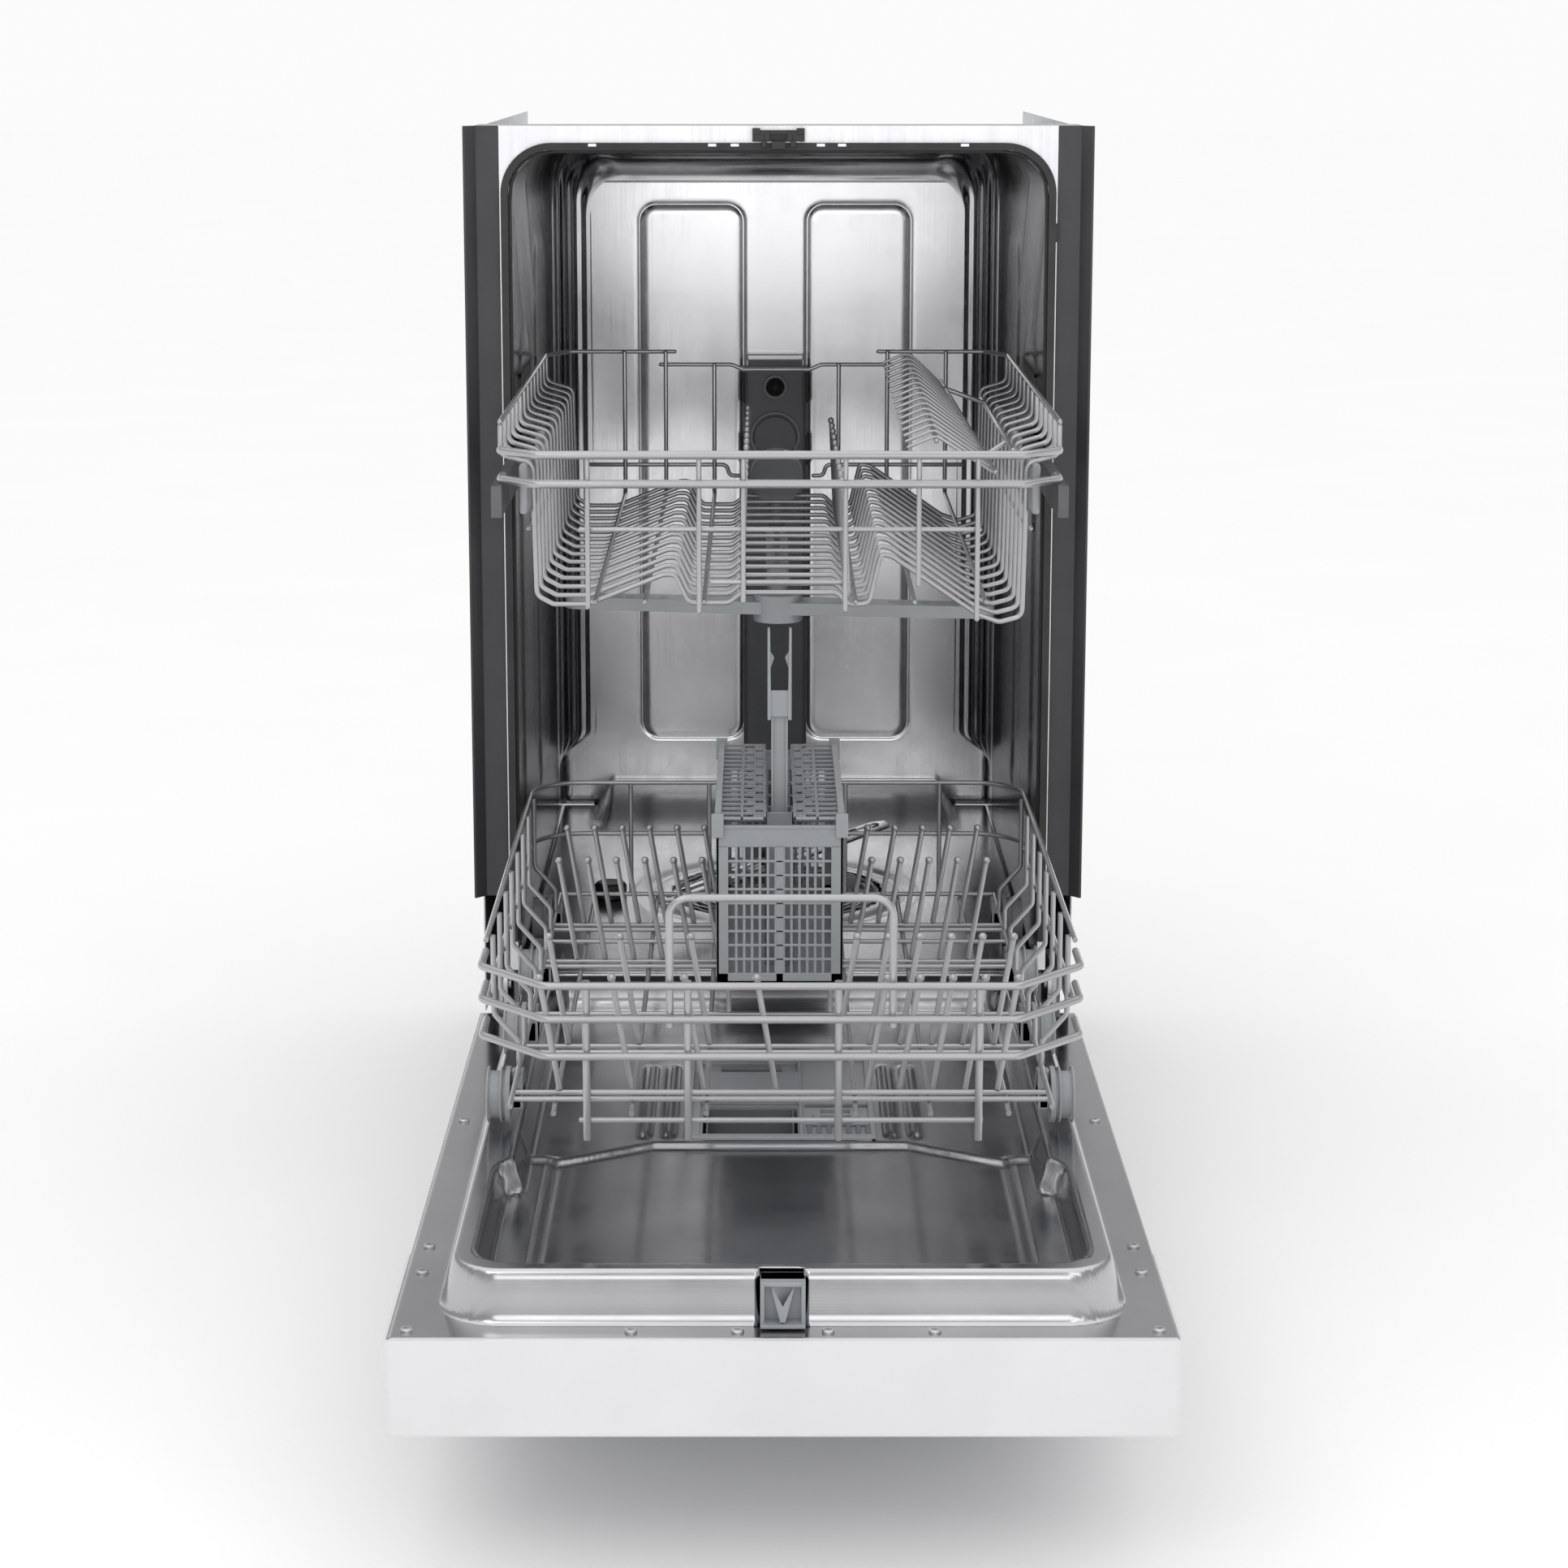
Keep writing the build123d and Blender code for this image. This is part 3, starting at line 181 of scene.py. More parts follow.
# Steel made lighter still, for the spray arm's blade and the lip below the mouth: painted light.
painted_light_steel = brushed("steel_with_painted_light", (0.84, 0.84, 0.86), (0.94, 0.94, 0.95), 0.22, (1200, 12, 1200))
galvanised = spangled("galvanised")
trim_black = moulded("trim_black", (0.036, 0.037, 0.041), (0.048, 0.049, 0.053), 0.42,
                     grain=700.0, depth=0.00004)
rubber = moulded("rubber", (0.02, 0.02, 0.021), (0.035, 0.035, 0.036), 0.62, grain=1400.0, depth=0.00008)
bitumen = moulded("bitumen", (0.016, 0.016, 0.016), (0.032, 0.031, 0.03), 0.8, grain=220.0, depth=0.0005)
black_plastic = moulded("black_plastic", (0.014, 0.014, 0.015), (0.024, 0.024, 0.025), 0.42)
duct_plastic = moulded("duct_plastic", (0.15, 0.155, 0.165), (0.19, 0.195, 0.205), 0.36)
grey_plastic = moulded("grey_plastic", (0.29, 0.305, 0.32), (0.35, 0.365, 0.38), 0.34, coat=0.1)
white_panel = moulded("white_panel", (0.70, 0.70, 0.71), (0.74, 0.74, 0.75), 0.24,
                      grain=260.0, depth=0.00002, coat=0.2, wear=0.04)
white_plastic = moulded("white_plastic", (0.7, 0.7, 0.69), (0.78, 0.78, 0.77), 0.36)
motor_steel = moulded("motor_steel", (0.1, 0.1, 0.105), (0.16, 0.16, 0.165), 0.45, metallic=0.7)
rack_wire = moulded("rack_wire", (0.40, 0.40, 0.41), (0.46, 0.46, 0.47), 0.26,
                    grain=500.0, depth=0.00001, coat=0.35, metallic=0.62, wear=0.04)

FINISH = {
    "stainless": liner_steel,
    "flange_steel": flange_steel,
    "trim_black": trim_black,
    "galvanised": galvanised,
    "rubber": rubber,
    "bitumen": bitumen,
    "black_plastic": black_plastic,
    "duct_plastic": duct_plastic,
    "white_panel": white_panel,
    "grey_plastic": grey_plastic,
    "rack_wire": rack_wire,
    "motor": motor_steel,
    "white_plastic": white_plastic,
}
# CAD nodes that don't have the finish of their slot.
OWN_FINISH = {"rack_rails": motor_steel, "feed_pipe": duct_plastic}

for name, node in nodes.items():
    for slot in node.material_slots:
        kind = slot.material.name.split(".")[0]
        slot.material = OWN_FINISH.get(name, FINISH[kind])


# ---------------------------------------------------------------- building pieces

MM = 0.001
# Thickness of the CAD's tub panels and door liner.
CAD_SHEET = 1.2


def cad_box(name):
    """Lowest and highest corner of a CAD node at rest, in millimetres to a tenth."""
    return [[round(value / MM, 1) for value in corner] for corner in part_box(name)]


def middle(name, axis):
    """Middle of a CAD node's box along an axis, in millimetres."""
    low, high = cad_box(name)
    return (low[axis] + high[axis]) / 2


def settle(made, material, body, replaced):
    """Gives a new object its finish, its body and the CAD nodes that it stands for."""
    made.data.materials.append(material)
    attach(made, body)
    if replaced:
        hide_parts(*replaced)
    return made


def linked(name, data):
    """A new object with this data, in the scene."""
    made = bpy.data.objects.new(name, data)
    bpy.context.scene.collection.objects.link(made)
    return made


def sheet_metal(name, points, material, body, replaced=(), skip=None, thick=1.0):
    """A closed sheet over a grid of points in millimetres; skip marks grid cells that are left open."""
    rows, cols = points.shape[:2]
    index = np.arange(rows * cols).reshape(rows, cols)
    quads = np.stack([index[:-1, :-1], index[1:, :-1], index[1:, 1:], index[:-1, 1:]], -1)
    quads = quads.reshape(-1, 4)
    if skip is not None:
        quads = quads[~skip.reshape(-1)]
    used, compact = np.unique(quads, return_inverse=True)
    corners = points.reshape(-1, 3)[used] * MM
    mesh = bpy.data.meshes.new(name)
    mesh.from_pydata(corners.tolist(), [], compact.reshape(-1, 4).tolist())
    mesh.shade_smooth()
    made = linked(name, mesh)
    solid = made.modifiers.new("sheet", "SOLIDIFY")
    solid.thickness = thick * MM
    solid.offset = -1.0
    return settle(made, material, body, replaced)


def turned_corners(points, radius, steps=5):
    """The route with each corner rounded off, taking less than half of either leg."""
    points = [Vector(p) for p in points]
    out = [points[0]]
    for before, corner, after in zip(points, points[1:], points[2:]):
        back, on = before - corner, after - corner
        cut = min(radius / max(tan(back.angle(on) / 2), 0.05), back.length * 0.49, on.length * 0.49)
        start, end = corner + back.normalized() * cut, corner + on.normalized() * cut
        for k in range(steps + 1):
            t = k / steps
            out.append(start * (1 - t) ** 2 + corner * (2 * t * (1 - t)) + end * t ** 2)
    return out + [points[-1]]


# Wire ends: distance past the end of the route and thickness, both in radii of the wire.
ROUND_END = ((0.5, 0.87), (0.87, 0.5), (1.0, 0.06))
BALL_END = ((-1.6, 1.0), (-1.1, 1.32), (-0.2, 1.5), (0.7, 1.32), (1.2, 0.8), (1.42, 0.08))


def wires(name, routes, diameter, body, replaced=(), bend=6.0, ball=False, material=None):
    """Round wires along routes in millimetres, in one piece; ball puts a ball on each last end."""
    data = bpy.data.curves.new(name, "CURVE")
    data.dimensions = "3D"
    data.bevel_depth = diameter / 2 * MM
    data.bevel_resolution = 3
    data.use_fill_caps = True
    radius = diameter / 2
    for route in routes:
        points = turned_corners(route, bend)
        first, last = (points[0] - points[1]).normalized(), (points[-1] - points[-2]).normalized()
        finish = BALL_END if ball else ROUND_END
        run = [(points[0] + first * past * radius, swell) for past, swell in reversed(ROUND_END)]
        run += [(point, 1.0) for point in (points[:-1] if ball else points)]
        run += [(points[-1] + last * past * radius, swell) for past, swell in finish]
        spline = data.splines.new("POLY")
        spline.points.add(len(run) - 1)
        for knot, (place, swell) in zip(spline.points, run):
            knot.co = (*(place * MM), 1)
            knot.radius = swell
    return settle(linked(name, data), material or rack_wire, body, replaced)


def circle(centre, radius, first, second, count):
    """A closed route round centre, in the plane of two unit vectors, with count points."""
    centre, first, second = Vector(centre), Vector(first), Vector(second)
    return [centre + radius * (first * cos(a) + second * sin(a)) for a in np.linspace(0, 2 * pi, count)]


def moulding(name, boxes, material, body, replaced=(), edge=0.5, extra=None):
    """Bars and plates given as pairs of corners in millimetres, in one piece with softened edges."""
    shape = bmesh.new()
    for low, high in boxes:
        grown = bmesh.ops.create_cube(shape, size=1.0)["verts"]
        for vert in grown:
            for axis in range(3):
                centre, span = (low[axis] + high[axis]) / 2, high[axis] - low[axis]
                vert.co[axis] = (centre + vert.co[axis] * span) * MM
    if extra:
        extra(shape)
    mesh = bpy.data.meshes.new(name)
    shape.to_mesh(mesh)
    shape.free()
    mesh.shade_flat()
    made = linked(name, mesh)
    soft = made.modifiers.new("edges", "BEVEL")
    soft.width = edge * MM
    soft.segments = 2
    soft.limit_method = "ANGLE"
    return settle(made, material, body, replaced)


def smooth(value, start, end):
    """0 below start, 1 above end, and an even ease between."""
    t = np.clip((value - start) / (end - start), 0, 1)
    return t * t * (3 - 2 * t)


def depth_inside(x, y, centre, half, radius):
    """Distance inside the edge of a rounded rectangle, negative outside it."""
    past_x = np.abs(x - centre[0]) - (half[0] - radius)
    past_y = np.abs(y - centre[1]) - (half[1] - radius)
    round_corner = np.hypot(np.maximum(past_x, 0), np.maximum(past_y, 0))
    return radius - round_corner - np.minimum(np.maximum(past_x, past_y), 0)


def stations(low, high, coarse, zones=(), fine=1.0):
    """Grid lines from low to high, closer together inside the zones, and none crowding another."""
    lines = [np.arange(low, high, coarse), [high]]
    lines += [np.arange(max(a, low), min(b, high), fine) for a, b in zones]
    found = np.unique(np.round(np.concatenate(lines), 3))
    keep = np.concatenate([[True], np.diff(found) > fine * 0.45])
    keep[-1] = True
    return found[keep]


# ---------------------------------------------------------------- tub

TUB_HALF, _, TUB_FLOOR = cad_box("tub_right_side")[0]
TUB_TOP, TUB_BACK = cad_box("tub_roof")[1][2] - CAD_SHEET, cad_box("tub_back")[1][1] - CAD_SHEET
BACK_HALF, BACK_TOP, CORNER_START = TUB_HALF - 33.5, TUB_TOP - 45, TUB_BACK - 70
ROOF_RADIUS = 34.0
# The rear corners are square up to the first height, and round from the second one on.
SQUARE_BELOW, ROUND_ABOVE = 236.0, 262.0
FLUTES, FLUTE_DEPTH = 5.5, 1.7
SIDE_FIELDS = (((120, 470), (62, 190)), ((300, 500), (70, 225)))
FIELD_DEPTH, FIELD_RADIUS, CREASE_DEPTH, PRESS_LIMIT = 1.6, 34.0, 0.8, 1.5
PANEL_X, PANEL_HALF, PANEL_RADIUS = 73.5, 45.5, 15.0
PANEL_LOW, PANEL_HIGH = 256.0, 733.0
SUMP_Y, SUMP_RADIUS = middle("lower_spray_arm", 1), cad_box("sump")[1][0]
TUB_SHEET = 0.9


def tub_rows():
    """Y, half-width, height and flute (inward, forward) of each section of the tub, front to back."""
    rows = [(y, TUB_HALF, TUB_TOP, (0, 0)) for y in np.arange(0, CORNER_START, 7.0)]
    for t in np.linspace(0, 1, 70):
        turn = t * pi / 2
        ripple = FLUTE_DEPTH * sin(2 * pi * FLUTES * t) * max(sin(pi * t), 0) ** 0.5
        half = TUB_HALF - (TUB_HALF - BACK_HALF) * (1 - cos(turn))
        y = CORNER_START + (TUB_BACK - CORNER_START) * sin(turn)
        top = TUB_TOP - (TUB_TOP - BACK_TOP) * (1 - cos(turn))
        rows.append((y, half, top, (ripple * cos(turn), ripple * sin(turn))))
    return rows


def side_emboss(y, z):
    """Depth of the shallow fields and slanting creases pressed into the tub's side walls."""
    depth = np.zeros_like(z)
    for centre, half in SIDE_FIELDS:
        depth += FIELD_DEPTH * smooth(depth_inside(y, z, centre, half, FIELD_RADIUS), 0, 13)
    for start in (70, 215):
        from_crease = np.abs((z - 690) * 0.8 + (y - start) * 0.9)
        depth += CREASE_DEPTH * np.exp(-(from_crease / 9) ** 2) * (z > 560) * (y < 380)
    return np.minimum(depth, PRESS_LIMIT)


def wrap_section(y, half, top, flute):
    """One section of the wrap: up the left wall, over the roof and down the right wall."""
    inward, forward = flute
    rise = np.linspace(TUB_FLOOR, top - ROOF_RADIUS, 110)
    pressed = side_emboss(np.full_like(rise, y), rise) * (y < CORNER_START) * smooth(rise, 215, 240)
    squared = (TUB_HALF - half) * (1 - smooth(rise, SQUARE_BELOW, ROUND_ABOVE))
    side = np.stack([-half - squared + pressed, rise], 1)
    bend = np.linspace(0, pi / 2, 14)[1:]
    arc = np.stack([-half + ROOF_RADIUS * (1 - np.cos(bend)),
                    top - ROOF_RADIUS + ROOF_RADIUS * np.sin(bend)], 1)
    half_ring = np.concatenate([side, arc])
    across = np.linspace(-half + ROOF_RADIUS, half - ROOF_RADIUS, 40)[1:-1]
    roof = np.stack([across, np.full_like(across, top)], 1)
    x, z = np.concatenate([half_ring, roof, half_ring[::-1] * [-1, 1]]).T
    fluted = smooth(z, SQUARE_BELOW, ROUND_ABOVE) - smooth(z, top - 40, top - 8)
    return np.stack([x - np.sign(x) * inward * fluted, y - forward * fluted, z], 1)


def build_tub_wrap():
    """The side walls and roof as one bent sheet, and the fluted rear corners behind it."""
    rows = tub_rows()
    wrap = np.array([wrap_section(*row) for row in rows])
    corner = sum(y < CORNER_START for y, *_ in rows)
    # The side walls and roof take the darkened steel: painted shade.
    sheet_metal("tub_wrap", wrap[:corner + 1], tub_side_steel_painted_shade, "cabinet",
                ["tub_left_side", "tub_right_side", "tub_roof"], thick=TUB_SHEET)
    # The rear corners take a steel between the darkened sides and the lightened back.
    sheet_metal("tub_rear_corners", wrap[corner:], tub_corner_steel, "cabinet",
                thick=TUB_SHEET)


def build_tub_back():
    """The back wall: a groove round each of its two raised panels, and a slight waviness."""
    panel_sides = [(20, 48), (98, 126), (-48, -20), (-126, -98)]
    panel_ends = [(248, 278), (712, 742)]
    xs = stations(-TUB_HALF, TUB_HALF, 9, panel_sides)
    zs = stations(TUB_FLOOR, BACK_TOP + 1.5, 9, panel_ends)
    z, x = np.meshgrid(zs, xs, indexing="ij")
    y = np.full_like(x, TUB_BACK)
    half = (PANEL_HALF, (PANEL_HIGH - PANEL_LOW) / 2)
    for side in (-1, 1):
        centre = (side * PANEL_X, (PANEL_LOW + PANEL_HIGH) / 2)
        inside = depth_inside(x, z, centre, half, PANEL_RADIUS)
        y += 1.1 * np.exp(-(inside / 2.2) ** 2) - 0.4 * smooth(inside, 2, 8)
    y += 0.5 * np.sin(x / 47.0) * np.sin(z / 83.0)
    # The back wall takes the lightened steel: painted light.
    sheet_metal("tub_back_wall", np.stack([x, y, z], -1), tub_back_steel_painted_light, "cabinet",
                ["tub_back"], thick=TUB_SHEET)


def build_tub_floor():
    """The floor: a ledge along its rear, a shallow groove round the sump, and the sump's hole."""
    xs = stations(-TUB_HALF, TUB_HALF, 3.0)
    ys = stations(0, TUB_BACK, 3.0)
    y, x = np.meshgrid(ys, xs, indexing="ij")
    from_sump = np.hypot(x, y - SUMP_Y)
    ledge = 24.0 * smooth(y, 425, 528) * (1 - smooth(np.abs(x), 146, 164))
    groove = 1.8 * np.exp(-((from_sump - 104) / 7) ** 2) * (y < 420)
    z = TUB_FLOOR - 0.4 + ledge - groove
    hole = from_sump[:-1, :-1] < SUMP_RADIUS + 1.5
    sheet_metal("tub_floor_pan", np.stack([x, y, z], -1)[:, ::-1], tub_floor_steel, "cabinet",
                ["tub_floor"], hole[:, ::-1], thick=0.7)


# ---------------------------------------------------------------- door liner

LINER_FRONT, LINER_LOW = cad_box("inner_liner")[0][1:]
LINER_HALF, LINER_BACK, RIM_Z = cad_box("inner_liner")[1]
FLANGE_Z, PAN_Z = LINER_LOW + CAD_SHEET, LINER_LOW + CAD_SHEET + 6
RIM_HALF, RIM_FRONT, RIM_BACK, RIM_RADIUS = LINER_HALF - 24, LINER_FRONT + 20, LINER_BACK - 8, 38.0
RIDGE_X, RIDGE_Y = (0, 82, 147, 260), (-315, -315, -352, -352)


def liner_height(x, y):
    """Height of the pressed liner over the door: a flange, the rim inside it, and the sunk pan."""
    def field(half, front, back, radius):
        """Distance inside a rounded rectangle that lies across the door."""
        return depth_inside(x, y, (0, (front + back) / 2), (half, (back - front) / 2), radius)

    rim = field(RIM_HALF, RIM_FRONT, RIM_BACK, RIM_RADIUS)
    pan = np.maximum(field(178, -581, -398, 26), field(168, -540, -18, 18))
    off_centre = np.abs(x)
    from_ridge = y - np.interp(off_centre, RIDGE_X, RIDGE_Y)
    floor = PAN_Z + 3.6 * smooth(from_ridge, -9, 5)
    floor += 0.7 * np.exp(-(from_ridge / 3.5) ** 2) * (off_centre < 147)
    floor += 4.0 * smooth(off_centre, 141, 150) * (1 - smooth(y, -352, -340))
    for rib_x in (73, 88):
        rib = np.exp(-((off_centre - rib_x) / 3.0) ** 2)
        floor += 3.0 * rib * smooth(y, -312, -300) * (1 - smooth(y, -165, -150))
    return FLANGE_Z + (RIM_Z - FLANGE_Z) * smooth(rim, 0, 10) - smooth(pan, 0, 9) * (RIM_Z - floor)


def build_liner():
    """The door liner, open where the dispenser, the striker and the hinge arms stand."""
    side_steps = [(-202, -141), (-94, -68), (68, 94), (141, 202)]
    cross_steps = [(-604, -574), (-360, -300), (-170, -148), (-22, 0)]
    xs = stations(-LINER_HALF, LINER_HALF, 3.6, side_steps, 1.4)
    ys = stations(LINER_FRONT, LINER_BACK, 3.6, cross_steps, 1.4)
    y, x = np.meshgrid(ys, xs, indexing="ij")
    z = liner_height(x, y)
    cell_x, cell_y = (x[:-1, :-1] + x[1:, 1:]) / 2, (y[:-1, :-1] + y[1:, 1:]) / 2
    from_x = np.abs(cell_x - middle("dispenser_housing", 0))
    dispenser = (from_x < 59) & (np.abs(cell_y - middle("dispenser_housing", 1)) < 81)
    striker = (np.abs(cell_x) < 13) & (cell_y < -588) & (cell_y > -603)
    hinges = (np.abs(cell_x) > 198.5) & (np.abs(cell_x) < 210) & (cell_y > -6)
    opening = dispenser | striker | hinges
    sheet_metal("door_liner", np.stack([x, y, z], -1)[:, ::-1], liner_steel, "door",
                ["inner_liner"], opening[:, ::-1], thick=1.0)


# ---------------------------------------------------------------- upper rack

HOOP_FRONT, HOOP_BACK, HOOPS = -206.0, 262.0, 14
TOP_X, STEP_X, WALL_X = 184.0, 163.0, 161.0
RIM_HEIGHT, STEP_HEIGHT = 625.0, 604.0
FRAME_Y = 279.0
RACK_WIRE, RAIL_WIRE, TINE_WIRE = 3.4, 5.8, 3.2
# X and Z of the bends in the rack's floor, from left to right.
FLOOR_WAVE = [(-150, 506), (-128, 506), (-77, 526), (-69, 526), (-60, 507), (-34, 507), (-25, 514),
              (38, 514), (46, 506), (59, 506), (67, 540), (75, 538), (132, 499), (146, 494)]


def upper_hoops():
    """Wires bent across the rack: down the left wall, along the wavy floor and up the right wall."""
    hoops = []
    for y in np.linspace(HOOP_FRONT, HOOP_BACK, HOOPS):
        left = [(-TOP_X, y, RIM_HEIGHT), (-TOP_X, y, STEP_HEIGHT + 2), (-STEP_X, y, STEP_HEIGHT - 4),
                (-WALL_X, y, 512)]
        right = [(-a, b, c - 14 * (c < 520)) for a, b, c in reversed(left)]
        hoops.append(left + [(x, y, z) for x, z in FLOOR_WAVE] + right)
    return hoops


def upper_frame():
    """Thin wires that tie the hoops together: rim, rear, side and floor wires, and the front's grid."""
    thin = []
    for side in (-1, 1):
        # rim with its cut rear corner, stepped top wire of the rear, side wire, foot wire of the rear
        thin.append([(side * TOP_X, -208, RIM_HEIGHT + 3), (side * TOP_X, 250, RIM_HEIGHT + 3),
                     (side * (TOP_X - 16), 283, RIM_HEIGHT + 3), (side * 82, 283, RIM_HEIGHT + 3)])
        thin.append([(side * x, FRAME_Y, z) for x, z in ((93, 618), (36, 618), (27, 614), (0, 614))])
        thin.append([(side * (STEP_X + RACK_WIRE), y, 556) for y in (-200, 276)])
        thin.append([(side * x, FRAME_Y, z) for x, z in ((150, 537), (40, 537), (38, 528), (30, 528))])
    # down the rear and forward below the floor
    for x, top in ((-122, 628), (-89, 628), (-50, 618), (50, 618), (89, 628), (136, 628)):
        thin.append([(x, 276, top), (x, 276, 514), (x, -222, 510)])
    # across the front and up it
    for z, reach in ((559, 131), (524, 45)):
        thin.append([(-reach, -225, z), (reach, -225, z)])
    for x, foot in ((-126, 508), (-53, 505), (-24, 512), (43, 506), (91, 523), (129.5, 500)):
        thin.append([(x, -229, foot), (x, -229, 607)])
    return thin


def upper_rails():
    """The two heavy wires that run round the front."""
    half = [(TOP_X, -190), (TOP_X, -208), (TOP_X - 24, -232)]
    return [[(-x, y, z) for x, y in half] + [(x, y, z) for x, y in reversed(half)] for z in (609, 590)]


def build_upper_rack():
    """The upper rack: bent wires, two rows of tines and the plates that carry its rollers."""
    wires("upper_rack_hoops", upper_hoops(), RACK_WIRE, "upper_rack", ["upper_rack_floor"], bend=7)
    wires("upper_rack_frame", upper_frame(), RACK_WIRE, "upper_rack", bend=9)
    wires("upper_rack_rails", upper_rails(), RAIL_WIRE, "upper_rack", ["upper_rack_walls"], bend=9)
    tines = []
    for x, tip, lean in ((-25, 588, 2), (46, 578, -3)):
        for y in range(-200, 233, 36):
            tines.append([(x, y, 510), (x + lean, y + 4, tip)])
    wires("upper_rack_tines", tines, TINE_WIRE, "upper_rack", ball=True, bend=4)
    plates = []
    for side in (-1, 1):
        for y in (-214, -60, 90):
            near, far = sorted((side * 166, side * 171.5))
            plates.append(((near, y, 567), (far, y + 54, 601)))
    moulding("upper_rack_roller_plates", plates, grey_plastic, "upper_rack", edge=2.4)


SHELF_FRONT, SHELF_BACK = [corner[1] for corner in cad_box("cup_shelf")]
SHELF_WIRES = 17
SHELF_PIVOT = (158, 602)


def comb_section(share):
    """Y of a comb wire at a share of the shelf's length, and X and Z of its edge, crest and tip."""
    y = SHELF_FRONT + share * (SHELF_BACK - SHELF_FRONT)
    outer = (146 - 20 * share, 586 + 28 * share)
    crest = (106 - 5 * share, 612 + 26 * share)
    return y, outer, crest, (crest[0] - 19, crest[1] - 8)


def build_cup_shelf():
    """Comb shelf hinged at the right side of the upper rack, tilted up out of the way."""
    comb = []
    for share in np.linspace(0, 1, SHELF_WIRES):
        y, *profile = comb_section(share)
        comb.append([(x, y, z) for x, z in profile])
    rails = []
    for pick, lift in ((1, 1.5), (2, -3.0)):
        route = []
        for share, pull in ((0, -6), (0.5, 0), (1, 6)):
            section = comb_section(share)
            x, z = section[pick]
            route.append((x, section[0] + pull, z + lift))
        rails.append(route)
    pivot_x, pivot_z = SHELF_PIVOT
    rails.append([(pivot_x, SHELF_FRONT, pivot_z), (pivot_x, SHELF_BACK, pivot_z)])
    for y in (-98.0, 142.0):
        outer = comb_section((y - SHELF_FRONT) / (SHELF_BACK - SHELF_FRONT))[1]
        rails.append([(pivot_x, y, pivot_z), (outer[0], y, outer[1] + 1.5)])
    wires("cup_shelf_comb", comb, 2.3, "cup_shelf", bend=9)
    wires("cup_shelf_rails", rails, 3.6, "cup_shelf", ["cup_shelf"], bend=4)


# ---------------------------------------------------------------- cutlery basket

# The hooks reach past the basket's walls on all sides, and stand above its edge.
HOOK_REACH, HOOK_RISE = 3.0, 8.0
basket_low, basket_high = cad_box("cutlery_basket")
BASKET_FRONT, BASKET_LOW = basket_low[1] + HOOK_REACH, basket_low[2]
BASKET_HALF, BASKET_BACK = basket_high[0] - HOOK_REACH, basket_high[1] - HOOK_REACH
BASKET_TOP = basket_high[2] - HOOK_RISE
BAND, FOOT, WALL, COLUMN = 15.0, 7.0, 2.0, 8.0
HANDLE_Y, SLEEVE_HALF = middle("basket_handle", 1), 9.6
BAR_INSET = 0.35


def lattice(at, start, end, low, high, pitch, rungs=9):
    """Bars of one basket wall; at(start, end, z0, z1, inset) places a bar on the wall."""
    bars = []
    count = round((end - start) / pitch)
    step = (end - start) / count
    for i in range(1, count):
        place = start + i * step
        bars.append(at(place - 0.9, place + 0.9, low, high, BAR_INSET))
    for i in range(1, rungs):
        z = low + (high - low) * i / rungs
        bars.append(at(start, end, z - 0.8, z + 0.8, 0.0))
    return bars


def basket_end(y0, y1):
    """Front or rear wall of the basket, from y0 to y1."""
    half, low, top = BASKET_HALF, BASKET_LOW, BASKET_TOP
    band = top - BAND

    def at(a, b, z0, z1, inset):
        """A bar from a to b across the basket."""
        return (a, y0 + inset, z0), (b, y1 - inset, z1)

    columns = ((-half, -half + COLUMN), (half - COLUMN, half), (-2.5, 2.5))
    boxes = [((-half, y0, band), (half, y1, top)),
             ((-half - 0.6, y0 - 0.6, top - 2.4), (half + 0.6, y1 + 0.6, top))]
    boxes += [((x0, y0, low), (x1, y1, band + 1)) for x0, x1 in columns]
    boxes.append(((-half, y0, low), (half, y1, low + FOOT)))
    return boxes + lattice(at, -half + COLUMN, half - COLUMN, low + FOOT, band, 5.2)


def basket_side(x0, x1):
    """Left or right wall of the basket, from x0 to x1."""
    front, back, low, top = BASKET_FRONT, BASKET_BACK, BASKET_LOW, BASKET_TOP
    band, post = top - BAND, 6

    def at(a, b, z0, z1, inset):
        """A bar from a to b along the basket."""
        return (x0 + inset, a, z0), (x1 - inset, b, z1)

    posts = (front, (front + back - post) / 2, back - post)
    boxes = [((x0, front, band), (x1, back, top)), ((x0, front, low), (x1, back, low + FOOT))]
    boxes += [((x0, y, low), (x1, y + post, band + 1)) for y in posts]
    return boxes + lattice(at, front + post, back - post, low + FOOT, band, 6.5)


